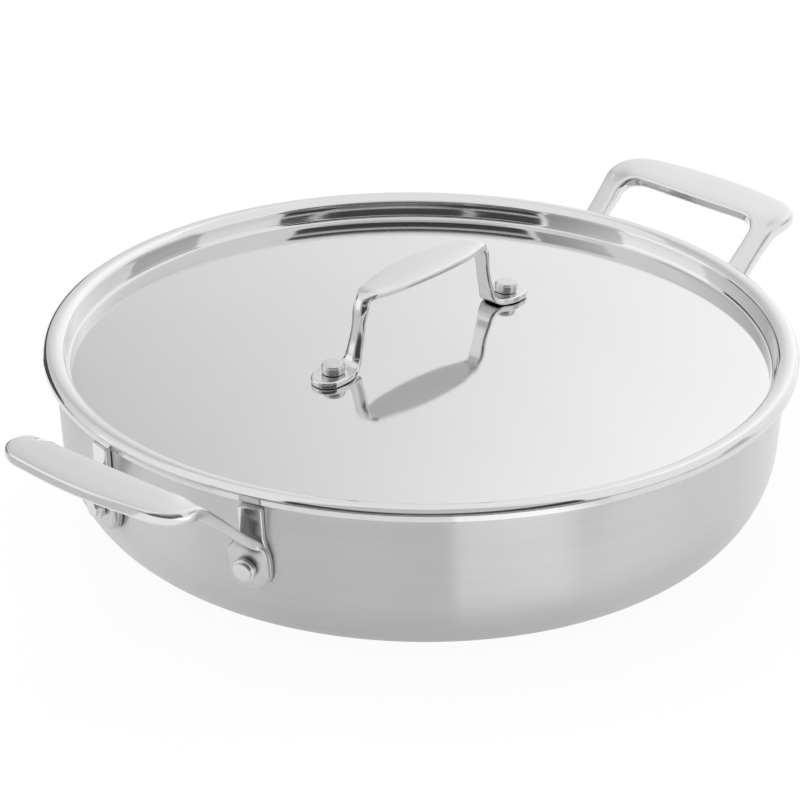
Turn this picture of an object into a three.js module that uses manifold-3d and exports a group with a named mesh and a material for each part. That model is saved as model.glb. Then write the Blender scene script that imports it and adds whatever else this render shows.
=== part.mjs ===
// Serving pan with a lift-off lid: clad steel pan, two forged side handles, four pan rivets,
// pressed domed lid, strap lid handle and two lid rivets.
// Millimetres, +Z up, base of the pan on z = 0, handles along X.
import * as THREE from 'three';
import { mergeVertices } from 'three/addons/utils/BufferGeometryUtils.js';
import Module from 'manifold-3d';

const wasm = await Module();
wasm.setup();

// Clearances
const FIT_GAP = 0.3;
const HOLE_GAP = 0.3;
const MERGE = 0.001;

// Pan
const LIP_RADIUS = 165;
const PAN_HEIGHT = 79.5;
const BASE_RADIUS = 116;
const CORNER_HEIGHT = 44;
const PAN_SHEET = 2.7;
const WALL_LEAN = 0.0786;
const LIP_BEND = 5.2;
const EDGE_ROUND = 0.4;

// Lid
const LID_SHEET = 1.0;
const LID_OVERHANG = 0.2;
const FLANGE_WIDTH = 9.2;
const FLANGE_CROWN = 2;
const EDGE_DROP = 0.3;
const RECESS_DEPTH = 7.7;
const RECESS_RUN = 2.6;
const DOME_RISE = 11.7;

// Side handles
const BAR_GAP = 26.7;
const BAR_WIDTH = 24;
const BAR_HALF = 50.5;
const BAR_RISE = 10.9;
const BAR_THICK = 5.4;
const ARM_INSET = 7.5;
const ARM_WIDTH = 11;
const ARM_SLOPE = 0.84;
const ARM_THICK = 4.3;
const PAD_INSET = 9.7;
const PAD_WIDTH = 17.8;
const PAD_THICK = 2.9;
const PAD_DROP = 11.4;
const ROOT_BEND = 12;
const PLATE_THICK = 2;
const PLATE_RIM = 0.5;
const TONGUE_WIDTH = 10.5;
const TONGUE_THICK = 2.6;
const TONGUE_STOP = 6;

// Lid handle
const GRIP_HEIGHT = 34;
const GRIP_WIDTH = 20.6;
const GRIP_THICK = 3.2;
const GRIP_SPAN = 41.3;
const LEG_WIDTH = 6.4;
const LEG_THICK = 3.3;
const FOOT_OFFSET = 57.2;
const FOOT_WIDTH = 15;
const FOOT_THICK = 2.8;
const FOOT_END = 11;

// Rivets
const RIVET_DROP = 33.9;
const SHANK_RADIUS = 2.6;
const HEAD_RADIUS = 5.1;
const HEAD_HEIGHT = 4.3;
const TAIL_RADIUS = 6.5;
const TAIL_HEIGHT = 1.2;

const RING_STEPS = 56;
const ROUND_STEPS = 12;
const CORNER_STEPS = 7;

// Pan wall: a lean line between the lip bend and an elliptical lower corner
const bendZ = PAN_HEIGHT - PAN_SHEET - LIP_BEND;
const leanAngle = Math.atan(WALL_LEAN);
const wallTopRadius = LIP_RADIUS - LIP_BEND * Math.cos(leanAngle);
const wallTopZ = bendZ + LIP_BEND * Math.sin(leanAngle);
const cornerReach = wallTopRadius - WALL_LEAN * (wallTopZ - CORNER_HEIGHT) - BASE_RADIUS;
const cornerRun = Math.sqrt(cornerReach ** 2 - (WALL_LEAN * CORNER_HEIGHT) ** 2);
const cornerEnd = Math.atan2(cornerRun, WALL_LEAN * CORNER_HEIGHT);

function cornerPoint(angle, inset) {
  const normal = new THREE.Vector2(Math.sin(angle) / cornerRun, -Math.cos(angle) / CORNER_HEIGHT);
  normal.normalize();
  const radius = BASE_RADIUS + cornerRun * Math.sin(angle) - inset * normal.x;
  return new THREE.Vector2(radius, CORNER_HEIGHT * (1 - Math.cos(angle)) - inset * normal.y);
}

function lipPoint(angle, bend) {
  return new THREE.Vector2(LIP_RADIUS - bend * Math.cos(angle), bendZ + bend * Math.sin(angle));
}

// Outside radius and its change with height, from the base to the lip bend
function outsideAt(z) {
  if (z > wallTopZ) {
    const rise = Math.min((z - bendZ) / LIP_BEND, 0.99);
    const side = Math.sqrt(1 - rise * rise);
    return { radius: LIP_RADIUS - LIP_BEND * side, slope: rise / side };
  }
  const cosine = 1 - z / CORNER_HEIGHT;
  if (cosine > Math.cos(cornerEnd)) {
    const angle = Math.acos(cosine);
    const slope = (cornerRun / CORNER_HEIGHT) / Math.tan(Math.max(angle, 0.05));
    return { radius: BASE_RADIUS + cornerRun * Math.sin(angle), slope };
  }
  return { radius: wallTopRadius - WALL_LEAN * (wallTopZ - z), slope: WALL_LEAN };
}

// Solids: corners closer than MERGE are one, and triangles that collapse are left out
function cleaned(geometry) {
  const bare = geometry.clone();
  bare.deleteAttribute('normal');
  if (bare.getAttribute('uv')) bare.deleteAttribute('uv');
  const joined = mergeVertices(bare, MERGE);
  const index = joined.getIndex();
  const kept = [];
  for (let k = 0; k < index.count; k += 3) {
    const ids = [index.getX(k), index.getX(k + 1), index.getX(k + 2)];
    if (ids[0] !== ids[1] && ids[1] !== ids[2] && ids[2] !== ids[0]) kept.push(...ids);
  }
  joined.setIndex(kept);
  return joined;
}

function volumeOf(geometry) {
  const position = geometry.getAttribute('position');
  const index = geometry.getIndex();
  const corners = [new THREE.Vector3(), new THREE.Vector3(), new THREE.Vector3()];
  let volume = 0;
  for (let k = 0; k < index.count; k += 3) {
    corners.forEach((corner, j) => corner.fromBufferAttribute(position, index.getX(k + j)));
    volume += corners[0].dot(corners[1].clone().cross(corners[2]));
  }
  return volume / 6;
}

function toSolid(geometry) {
  const body = cleaned(geometry);
  const triVerts = new Uint32Array(body.getIndex().array);
  if (volumeOf(body) < 0) triVerts.reverse();
  const vertProperties = new Float32Array(body.getAttribute('position').array);
  return new wasm.Manifold(new wasm.Mesh({ numProp: 3, vertProperties, triVerts }));
}

function toGeometry(solid) {
  const mesh = solid.getMesh();
  const raw = new THREE.BufferGeometry();
  raw.setAttribute('position', new THREE.BufferAttribute(new Float32Array(mesh.vertProperties), 3));
  raw.setIndex(new THREE.BufferAttribute(new Uint32Array(mesh.triVerts), 1));
  const geometry = cleaned(raw);
  geometry.computeVertexNormals();
  return geometry;
}

// Turned about Z from a profile of radius and height
function turned(profile, steps) {
  const geometry = new THREE.LatheGeometry(profile, steps);
  geometry.rotateX(Math.PI / 2);
  return geometry;
}

// Skin through rings of points, closed at both ends
function skinned(rings) {
  const size = rings[0].length;
  const points = rings.flat();
  const index = [];
  for (let k = 0; k + 1 < rings.length; k += 1) {
    for (let j = 0; j < size; j += 1) {
      const a = k * size + j;
      const b = k * size + ((j + 1) % size);
      index.push(a, b, b + size, a, b + size, a + size);
    }
  }
  [0, rings.length - 1].forEach((k, end) => {
    const middle = rings[k].reduce((sum, p) => sum.add(p), new THREE.Vector3()).divideScalar(size);
    points.push(middle);
    const hub = points.length - 1;
    for (let j = 0; j < size; j += 1) {
      const a = k * size + j;
      const b = k * size + ((j + 1) % size);
      index.push(...(end ? [a, b, hub] : [b, a, hub]));
    }
  });
  const geometry = new THREE.BufferGeometry().setFromPoints(points);
  geometry.setIndex(index);
  return geometry;
}

// Rounded strap section: across runs from the inner edge to the outer edge, depth runs down from the face
function strapSection(width, thick) {
  const round = Math.min(thick * 0.36, width * 0.36);
  const outline = [];
  const corners = [[1, 0], [1, -1], [-1, -1], [-1, 0]];
  corners.forEach(([side, level], k) => {
    const across = side * (width / 2 - round);
    const depth = level === 0 ? -round : -thick + round;
    for (let j = 0; j <= 2; j += 1) {
      const angle = Math.PI / 2 - (k + j / 2) * Math.PI / 2;
      outline.push([across + round * Math.cos(angle), depth + round * Math.sin(angle)]);
    }
  });
  return outline;
}

// Strap through sections, each with an inner and an outer edge point on its face, a thickness and a bulge
function strap(keys) {
  const middles = keys.map((key) => key.inner.clone().add(key.outer).multiplyScalar(0.5));
  return skinned(keys.map((key, k) => {
    const across = key.outer.clone().sub(key.inner);
    const width = across.length();
    across.normalize();
    const along = middles[Math.min(k + 1, keys.length - 1)].clone().sub(middles[Math.max(k - 1, 0)]);
    const face = (key.face ?? along.cross(across)).clone().normalize();
    return strapSection(width, key.thick).map(([p, q]) => {
      const bulge = key.bulge * ((width / 2) ** 2 - p * p) / (2 * LIP_RADIUS);
      return middles[k].clone().addScaledVector(across, p).addScaledVector(face, q - bulge);
    });
  }));
}

// Smooth sections between the given ones
function smoothed(keys, steps) {
  const spline = (a, b, c, d, t) => 0.5 * (2 * b + (c - a) * t + (2 * a - 5 * b + 4 * c - d) * t * t
    + (3 * b - a - 3 * c + d) * t ** 3);
  const result = [];
  for (let k = 0; k + 1 < keys.length; k += 1) {
    const near = [keys[Math.max(k - 1, 0)], keys[k], keys[k + 1], keys[Math.min(k + 2, keys.length - 1)]];
    for (let j = 0; j < steps; j += 1) {
      const t = j / steps;
      const at = (edge, axis) => spline(...near.map((n) => n[edge][axis]), t);
      const point = (edge) => new THREE.Vector3(at(edge, 'x'), at(edge, 'y'), at(edge, 'z'));
      result.push({
        inner: point('inner'),
        outer: point('outer'),
        thick: near[1].thick * (1 - t) + near[2].thick * t,
        bulge: near[1].bulge * (1 - t) + near[2].bulge * t,
      });
    }
  }
  result.push(keys[keys.length - 1]);
  return result;
}

function mirroredY(key) {
  const flip = (p) => new THREE.Vector3(p.x, -p.y, p.z);
  return { ...key, inner: flip(key.inner), outer: flip(key.outer), face: key.face && flip(key.face) };
}

function mirroredX(key) {
  const flip = (p) => new THREE.Vector3(-p.x, p.y, p.z);
  return { ...key, inner: flip(key.inner), outer: flip(key.outer), face: key.face && flip(key.face) };
}

// Pan body profile: outside from the base up, round the lip edge, inside back down to the floor
function panProfile() {
  const profile = [new THREE.Vector2(0, 0)];
  for (let k = 0; k <= CORNER_STEPS; k += 1) profile.push(cornerPoint(cornerEnd * k / CORNER_STEPS, 0));
  for (let k = 0; k <= 3; k += 1) {
    const angle = leanAngle + (1.4 - leanAngle) * k / 3;
    profile.push(lipPoint(angle, LIP_BEND));
  }
  profile.push(new THREE.Vector2(LIP_RADIUS, PAN_HEIGHT - PAN_SHEET + EDGE_ROUND));
  profile.push(new THREE.Vector2(LIP_RADIUS, PAN_HEIGHT - EDGE_ROUND));
  profile.push(new THREE.Vector2(LIP_RADIUS - EDGE_ROUND, PAN_HEIGHT));
  for (let k = 4; k >= 0; k -= 1) {
    const angle = leanAngle + (1.42 - leanAngle) * k / 4;
    profile.push(lipPoint(angle, LIP_BEND + PAN_SHEET));
  }
  for (let k = CORNER_STEPS; k >= 0; k -= 1) {
    profile.push(cornerPoint(cornerEnd * k / CORNER_STEPS, PAN_SHEET));
  }
  profile.push(new THREE.Vector2(0, PAN_SHEET));
  return profile;
}

// Lid face: dome, recess wall, flange, edge; the under side follows it at the sheet's thickness
const lidEdgeRadius = LIP_RADIUS + LID_OVERHANG;
const lidEdgeZ = PAN_HEIGHT + FIT_GAP;
const flangeZ = lidEdgeZ + EDGE_DROP;
const flangeInner = lidEdgeRadius - FLANGE_WIDTH;
const discRadius = flangeInner - RECESS_RUN;
const discZ = flangeZ - RECESS_DEPTH;

function domeZ(radius) {
  return discZ + DOME_RISE * (1 - (radius / discRadius) ** 2);
}

function domeSlope(radius) {
  return -2 * DOME_RISE * radius / discRadius ** 2;
}

function lidProfile() {
  const face = [];
  const domeSteps = 4;
  for (let k = 0; k <= domeSteps; k += 1) {
    const radius = (discRadius - 1.2) * k / domeSteps;
    face.push(new THREE.Vector2(radius, domeZ(radius)));
  }
  // Recess wall, as parts of its run and depth
  [[0.1, 0], [0.27, 0.08], [0.42, 0.24], [0.8, 0.78], [1, 1]].forEach(([out, up]) => {
    face.push(new THREE.Vector2(discRadius + RECESS_RUN * out, discZ + RECESS_DEPTH * up));
  });
  // Flange, as parts of its width and crown
  [[0.16, 0.42], [0.4, 0.84], [0.68, 1], [0.92, 0.86], [1, 0.5]].forEach(([out, up]) => {
    face.push(new THREE.Vector2(flangeInner + FLANGE_WIDTH * out, flangeZ + FLANGE_CROWN * up));
  });
  const under = face.slice(0, -1).map((point, k) => {
    const along = face[k + 1].clone().sub(face[Math.max(k - 1, 0)]).normalize();
    return new THREE.Vector2(k ? point.x + along.y * LID_SHEET : 0, point.y - along.x * LID_SHEET);
  });
  under[under.length - 1].set(lidEdgeRadius - LID_SHEET, flangeZ + FLANGE_CROWN * 0.3);
  under.push(new THREE.Vector2(lidEdgeRadius - LID_SHEET, lidEdgeZ));
  face.push(new THREE.Vector2(lidEdgeRadius, lidEdgeZ));
  return face.concat(under.reverse());
}

// Side handle, built on the +X side
const barInner = LIP_RADIUS + BAR_GAP;
const barOuter = barInner + BAR_WIDTH;
const barTopZ = PAN_HEIGHT + BAR_RISE;
const armOffset = BAR_HALF - ARM_INSET;
const padOffset = BAR_HALF - PAD_INSET;
const rivetZ = PAN_HEIGHT - RIVET_DROP;
const armInnerY = armOffset - ARM_WIDTH / 2;
const armOuterY = armOffset + ARM_WIDTH / 2;
const bendX = barInner + 0.4;

// Face height of bar and arms: the arms drop away from the bar past a soft bend
function handleZ(x, y) {
  const share = THREE.MathUtils.smoothstep(Math.abs(y), armInnerY - 13, armInnerY + 3);
  const beyond = bendX - x;
  const drop = ARM_SLOPE * (beyond + Math.sqrt(beyond * beyond + 9)) / 2;
  return barTopZ + 0.04 * (x - barInner) - share * drop;
}

function wallPoint(z, y, lift) {
  const { radius, slope } = outsideAt(z);
  const out = new THREE.Vector3(Math.sqrt(radius * radius - y * y), y, z);
  const normal = new THREE.Vector3(out.x / radius, y / radius, -slope).normalize();
  return { point: out.addScaledVector(normal, lift), normal };
}

// Pad's round end, from the top down: heights with half the width there
const padRound = PAD_WIDTH / 2;
const padEndZ = rivetZ - PAD_DROP;
const padRoundZ = padEndZ + padRound;

function padRows(steps) {
  const rows = [];
  for (let k = 0; k <= steps; k += 1) {
    const angle = Math.PI / 2 * (1 - 0.97 * k / steps);
    rows.push([padRoundZ - padRound * Math.cos(angle), padRound * Math.sin(angle)]);
  }
  return rows;
}

// Section lying on the wall between two places across, facing it
function wallKey(z, low, high, lift, thick) {
  const inner = wallPoint(z, low, FIT_GAP + lift);
  const outer = wallPoint(z, high, FIT_GAP + lift);
  const face = inner.normal.clone().add(outer.normal).negate();
  return { inner: inner.point, outer: outer.point, thick, bulge: 1, face };
}

// Arm root: the arm's face turns down to the wall on a bend, as it widens to the pad
function rootKeys() {
  const corner = new THREE.Vector2(0, rivetZ + 11);
  for (let k = 0; k < 12; k += 1) {
    corner.x = wallPoint(corner.y, armOffset, FIT_GAP + PLATE_THICK).point.x;
    corner.y = handleZ(corner.x, armOffset);
  }
  const armAngle = Math.atan(ARM_SLOPE);
  const upArm = new THREE.Vector2(Math.cos(armAngle), Math.sin(armAngle));
  const reach = ROOT_BEND * Math.tan((Math.PI / 2 - armAngle) / 2);
  const above = corner.clone().addScaledVector(upArm, reach);
  const below = new THREE.Vector2(corner.x - WALL_LEAN * reach, corner.y - reach);
  const bend = new THREE.QuadraticBezierCurve(above, corner, below);
  return [0, 0.25, 0.5, 0.75, 1].map((part) => {
    const { x, y: z } = bend.getPoint(part);
    const share = THREE.MathUtils.smoothstep(part, 0.1, 1.25);
    const low = armInnerY + (padOffset - padRound - armInnerY) * share;
    const high = armOuterY + (padOffset + padRound - armOuterY) * share;
    const wrap = (y) => part * (wallPoint(z, y, 0).point.x - wallPoint(z, armOffset, 0).point.x);
    return {
      inner: new THREE.Vector3(x + wrap(low), low, z),
      outer: new THREE.Vector3(x + wrap(high), high, z),
      thick: ARM_THICK + (PAD_THICK - ARM_THICK) * part,
      bulge: part,
    };
  });
}

function handleKeys() {
  const onFace = (x, y) => new THREE.Vector3(x, y, handleZ(x, y));
  const key = (inner, outer, thick) => (
    { inner: onFace(...inner), outer: onFace(...outer), thick, bulge: 0 }
  );
  const bar = [
    key([barInner, 0], [barOuter, 0], BAR_THICK),
    key([barInner, armInnerY * 0.38], [barOuter - 0.5, BAR_HALF * 0.3], BAR_THICK),
    key([barInner, armInnerY * 0.72], [barOuter - 2.2, BAR_HALF * 0.62], BAR_THICK),
    key([barInner - 0.9, armInnerY - 4.6], [barOuter - 5.2, BAR_HALF * 0.85], BAR_THICK - 0.1),
    key([barInner - 2.8, armInnerY - 1.7], [barOuter - 10.4, BAR_HALF * 0.965], BAR_THICK - 0.2),
    key([barInner - 5.4, armInnerY - 0.4], [barOuter - 17.2, BAR_HALF], BAR_THICK - 0.4),
    key([barInner - 8.2, armInnerY], [barOuter - 24.4, (BAR_HALF + armOuterY) / 2 + 0.5], BAR_THICK - 0.7),
    key([barInner - 11.4, armInnerY], [barOuter - 32, armOuterY + 0.5], ARM_THICK + 0.2),
    key([barInner - 15.6, armInnerY], [barOuter - 38.6, armOuterY], ARM_THICK),
  ];
  const root = rootKeys();
  const rootZ = root[root.length - 1].inner.z;
  const pad = [];
  [[(rootZ + padRoundZ) / 2, padRound], ...padRows(5)].forEach(([z, reach], k) => {
    const thin = 1 - 0.05 * k;
    pad.push(wallKey(z, padOffset - reach, padOffset + reach, PLATE_THICK * thin, PAD_THICK * thin));
  });
  return smoothed(bar, 2).concat(root, pad);
}

// Back plate: the pad's rear layer, drawn in to the tongue that stands up behind the arm
function plateSolid(side) {
  const rows = padRows(5).reverse().map(([z, reach]) => (
    [z, padOffset - reach - PLATE_RIM, padOffset + reach + PLATE_RIM]
  ));
  rows[0][0] -= PLATE_RIM;
  const tongueHalf = TONGUE_WIDTH / 2;
  const tongueMid = armOffset - 0.6;
  const neck = [rivetZ + 2, rivetZ + 15];
  [0, 0.25, 0.5, 0.75, 1].forEach((part) => {
    const share = THREE.MathUtils.smoothstep(part, 0, 1);
    const low = padOffset - padRound - PLATE_RIM;
    const high = padOffset + padRound + PLATE_RIM;
    rows.push([
      neck[0] + (neck[1] - neck[0]) * part,
      low + (tongueMid - tongueHalf - low) * share,
      high + (tongueMid + tongueHalf - high) * share,
    ]);
  });
  const top = PAN_HEIGHT - TONGUE_STOP;
  [[0.9, 0], [0.35, 0.5], [0, 1.4]].forEach(([below, inset]) => {
    rows.push([top - below, tongueMid - tongueHalf + inset, tongueMid + tongueHalf - inset]);
  });
  const keys = rows.map(([z, low, high]) => {
    const share = THREE.MathUtils.smoothstep(z, neck[0], neck[1]);
    return wallKey(z, low, high, 0, PLATE_THICK + 0.5 + (TONGUE_THICK - PLATE_THICK - 0.5) * share);
  });
  return toSolid(strap(side > 0 ? keys : keys.map(mirroredY)));
}

// Rivet axes: place on the outer face and outward direction
function panRivetAxis(side) {
  const { point, normal } = wallPoint(rivetZ, side * padOffset, 0);
  return { point, normal };
}

function lidRivetAxis(side) {
  const slope = domeSlope(FOOT_OFFSET);
  const point = new THREE.Vector3(side * FOOT_OFFSET, 0, domeZ(FOOT_OFFSET));
  return { point, normal: new THREE.Vector3(-side * slope, 0, 1).normalize() };
}

function placed(geometry, axis, turn) {
  const spin = new THREE.Quaternion().setFromUnitVectors(new THREE.Vector3(0, 0, 1), axis.normal);
  geometry.applyQuaternion(spin);
  geometry.translate(axis.point.x, axis.point.y, axis.point.z);
  geometry.rotateZ(turn);
  return geometry;
}

// Rivet turned about its axis: head over the pad, shank, flat tail behind the sheet
function rivetProfile(padThick, sheet, tailGap, straight, crown) {
  const seat = FIT_GAP + padThick + FIT_GAP;
  const back = -sheet - tailGap;
  return [
    [0, back - TAIL_HEIGHT], [TAIL_RADIUS - 0.6, back - TAIL_HEIGHT],
    [TAIL_RADIUS, back - TAIL_HEIGHT + 0.5], [TAIL_RADIUS, back],
    [SHANK_RADIUS, back], [SHANK_RADIUS, seat],
    [HEAD_RADIUS - 0.3, seat], [HEAD_RADIUS - 0.3, seat + 0.6],
    [HEAD_RADIUS, seat + 0.8], [HEAD_RADIUS, seat + straight],
    [crown, seat + HEAD_HEIGHT - 0.25], [crown - 0.4, seat + HEAD_HEIGHT], [0, seat + HEAD_HEIGHT],
  ].map(([radius, z]) => new THREE.Vector2(radius, z));
}

function rivetHole(axis, turn) {
  const radius = SHANK_RADIUS + HOLE_GAP;
  const hole = new THREE.CylinderGeometry(radius, radius, 30, ROUND_STEPS);
  hole.rotateX(Math.PI / 2);
  return toSolid(placed(hole, axis, turn));
}

// Lid handle: one strap from foot to foot
function gripKeys() {
  const footZ = (x) => domeZ(x) + FIT_GAP + FOOT_THICK;
  const topZ = domeZ(0) + GRIP_HEIGHT;
  const key = (x, z, width, thick) => ({
    inner: new THREE.Vector3(x, -width / 2, z), outer: new THREE.Vector3(x, width / 2, z), thick, bulge: 0,
  });
  const round = FOOT_WIDTH / 2;
  const endX = FOOT_OFFSET + FOOT_END;
  const foot = [];
  for (let k = 0; k <= 5; k += 1) {
    const angle = Math.PI / 2 * (0.05 + 0.95 * k / 5);
    const x = endX - round + round * Math.cos(angle);
    const face = new THREE.Vector3(-domeSlope(x), 0, 1);
    foot.push({ ...key(x, footZ(x), 2 * round * Math.sin(angle), FOOT_THICK), face });
  }
  const inX = FOOT_OFFSET - round;
  const baseZ = footZ(inX);
  const rise = topZ - baseZ;
  const legX = (part) => inX - 4.6 + (GRIP_SPAN - inX + 4.6) * part;
  const body = [
    key(inX + 2, footZ(inX + 2), FOOT_WIDTH, FOOT_THICK),
    key(inX - 0.6, baseZ + 0.15, FOOT_WIDTH * 0.82, FOOT_THICK + 0.1),
    key(inX - 2.8, baseZ + 1.5, FOOT_WIDTH * 0.66, LEG_THICK),
    key(inX - 4.2, baseZ + 4.4, FOOT_WIDTH * 0.55, LEG_THICK),
    key(legX(0.2), baseZ + rise * 0.28, LEG_WIDTH * 1.08, LEG_THICK),
    key(legX(0.55), baseZ + rise * 0.55, LEG_WIDTH, LEG_THICK),
    key(legX(0.95), baseZ + rise * 0.8, LEG_WIDTH * 1.1, LEG_THICK),
    key(GRIP_SPAN - 1.6, baseZ + rise * 0.9, GRIP_WIDTH * 0.36, LEG_THICK),
    key(GRIP_SPAN - 4.6, baseZ + rise * 0.953, GRIP_WIDTH * 0.47, GRIP_THICK),
    key(GRIP_SPAN * 0.76, baseZ + rise * 0.972, GRIP_WIDTH * 0.61, GRIP_THICK),
    key(GRIP_SPAN * 0.56, baseZ + rise * 0.983, GRIP_WIDTH * 0.81, GRIP_THICK),
    key(GRIP_SPAN * 0.3, baseZ + rise * 0.995, GRIP_WIDTH * 0.95, GRIP_THICK),
    key(0, baseZ + rise, GRIP_WIDTH, GRIP_THICK),
  ];
  return foot.concat(smoothed(body, 2));
}

// Assembly
function steel(color, roughness) {
  return new THREE.MeshStandardMaterial({ color, roughness, metalness: 1 });
}

function node(name, geometry, material) {
  const mesh = new THREE.Mesh(geometry, material);
  mesh.name = name;
  return mesh;
}

const group = new THREE.Group();
group.name = 'serving_pan';

// Both side handles are one shape, turned half round for the left one, which swaps back and front
const turns = { right: 0, left: Math.PI };
const sides = [1, -1];

let pan = toSolid(turned(panProfile(), RING_STEPS));
for (const turn of Object.values(turns)) {
  for (const side of sides) pan = pan.subtract(rivetHole(panRivetAxis(side), turn));
}
group.add(node('pan_body', toGeometry(pan), steel(0xc9cacb, 0.3)));

const half = handleKeys();
const whole = half.slice(1).reverse().concat(half.map(mirroredY));
let handle = toSolid(strap(whole));
for (const side of sides) handle = handle.add(plateSolid(side));
for (const side of sides) handle = handle.subtract(rivetHole(panRivetAxis(side), 0));
for (const [name, turn] of Object.entries(turns)) {
  const geometry = toGeometry(handle);
  geometry.rotateZ(turn);
  group.add(node(`side_handle_${name}`, geometry, steel(0xd8d9da, 0.12)));
}

const tailSag = TAIL_RADIUS ** 2 / (2 * (wallTopRadius - PAN_SHEET - 10));
const padWhole = PLATE_THICK + PAD_THICK;
const panRivet = rivetProfile(padWhole, PAN_SHEET, FIT_GAP + tailSag, 1.9, HEAD_RADIUS - 1.3);
for (const [name, turn] of Object.entries(turns)) {
  for (const side of sides) {
    const place = side * Math.cos(turn) > 0 ? 'back' : 'front';
    const geometry = toGeometry(toSolid(placed(turned(panRivet, ROUND_STEPS), panRivetAxis(side), turn)));
    group.add(node(`pan_rivet_${name}_${place}`, geometry, steel(0xd2d3d4, 0.15)));
  }
}

let lid = toSolid(turned(lidProfile(), RING_STEPS));
for (const side of sides) lid = lid.subtract(rivetHole(lidRivetAxis(side), 0));
group.add(node('lid', toGeometry(lid), steel(0xdedfe0, 0.08)));

const gripHalf = gripKeys();
const gripWhole = gripHalf.slice(0, -1).map(mirroredX).concat(gripHalf.slice().reverse());
let grip = toSolid(strap(gripWhole));
for (const side of sides) grip = grip.subtract(rivetHole(lidRivetAxis(side), 0));
group.add(node('lid_handle', toGeometry(grip), steel(0xdadbdc, 0.1)));

const lidRivet = rivetProfile(FOOT_THICK, LID_SHEET, FIT_GAP, HEAD_HEIGHT - 0.9, HEAD_RADIUS - 0.35);
for (const [name, side] of [['right', 1], ['left', -1]]) {
  const geometry = toGeometry(toSolid(placed(turned(lidRivet, ROUND_STEPS), lidRivetAxis(side), 0)));
  group.add(node(`lid_rivet_${name}`, geometry, steel(0xd2d3d4, 0.15)));
}

export default group;
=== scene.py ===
"""Serving pan with a lift-off lid: turned pan and lid, lofted handles, rivets and a studio stage."""
import math

import bmesh
import bpy
import numpy as np
from bpy.props import FloatProperty, FloatVectorProperty, IntProperty, PointerProperty
from mathutils import Matrix, Vector


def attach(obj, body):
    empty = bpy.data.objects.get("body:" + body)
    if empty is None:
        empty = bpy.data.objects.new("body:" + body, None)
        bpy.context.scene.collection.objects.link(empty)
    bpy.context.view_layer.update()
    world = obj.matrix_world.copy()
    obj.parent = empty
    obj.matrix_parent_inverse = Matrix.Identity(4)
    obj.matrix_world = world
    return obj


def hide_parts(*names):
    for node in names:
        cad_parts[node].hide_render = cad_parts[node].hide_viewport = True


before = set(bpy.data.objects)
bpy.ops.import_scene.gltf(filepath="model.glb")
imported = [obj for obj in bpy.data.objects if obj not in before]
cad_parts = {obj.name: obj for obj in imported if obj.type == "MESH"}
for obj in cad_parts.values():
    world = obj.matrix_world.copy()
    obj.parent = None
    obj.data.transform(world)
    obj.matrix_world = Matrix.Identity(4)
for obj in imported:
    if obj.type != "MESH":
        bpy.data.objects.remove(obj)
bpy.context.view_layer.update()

# Attributes that hold a turned point's radius and a rivet's axis
RADIUS_NAME = "turned_radius"
AXIS_NAME = "axis"
# Points of a turned sheet that are closer than this are one point, in metres
MERGE_REACH = 1e-6
# Edges that turn by more than this stay sharp
SHARP_ANGLE = math.radians(38.0)
# Last angle of a round end in degrees, short of its tip
END_ANGLE = 88.0
# Side of the photograph's frame, and where the camera's axis meets it, in pixels
FRAME_SIDE = 800.0
FRAME_AXIS = (420.935, 358.928)

bl_info = {
    "name": "Serving pan",
    "version": (1, 0, 0),
    "blender": (4, 5, 0),
    "location": "View3D > Sidebar > Serving pan",
    "description": "Builds a steel serving pan with riveted handles and a lift-off lid",
    "category": "Add Mesh",
}


# Settings

def length(name, description, millimetres):
    """Size in metres, with its default given in millimetres."""
    return FloatProperty(name=name, description=description, default=millimetres * 0.001,
                         min=0.0, precision=5, unit="LENGTH")


def ratio(name, description, default):
    """Plain number."""
    return FloatProperty(name=name, description=description, default=default, min=0.0, precision=4)


def tone(name, description, default):
    """Colour in linear light."""
    return FloatVectorProperty(name=name, description=description, default=default, size=3,
                               subtype="COLOR", min=0.0, max=1.0)


class PanSizes(bpy.types.PropertyGroup):
    """Sizes of the pan body"""
    lip_radius: length("Lip radius", "Outer radius of the rolled lip", 165.0)
    height: length("Height", "Height of the lip above the base", 79.5)
    base_radius: length("Base radius", "Radius of the flat base", 116.0)
    corner_height: length("Corner height", "Height at which the lower corner meets the wall", 44.0)
    sheet: length("Sheet", "Thickness of the pan's sheet", 2.7)
    wall_lean: ratio("Wall lean", "Outward run of the wall for its rise", 0.0786)
    lip_bend: length("Lip bend", "Outside radius of the lip's bend", 5.2)
    edge_round: length("Edge round", "Rounding of the lip's edge", 0.6)
    lip_bead: length("Lip bead", "Extra thickness under the lip's edge", 0.7)
    round_steps: IntProperty(name="Steps", description="Steps round the turned sheets", default=288, min=24)


class LidSizes(bpy.types.PropertyGroup):
    """Sizes of the lid"""
    sheet: length("Sheet", "Thickness of the lid's sheet", 1.0)
    seat_gap: length("Seat gap", "Gap between the lid's edge and the pan's lip", 0.3)
    overhang: length("Overhang", "Reach of the lid past the lip", 0.2)
    flange_width: length("Flange width", "Width of the raised flange", 9.2)
    flange_crown: length("Flange crown", "Rise of the flange above its edges", 2.0)
    edge_drop: length("Edge drop", "Turned-down edge below the flange", 0.3)
    recess_depth: length("Recess depth", "Depth of the disc below the flange", 7.7)
    recess_run: length("Recess run", "Width of the recess wall", 2.6)
    dome_rise: length("Dome rise", "Rise of the disc at its middle", 11.7)


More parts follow.
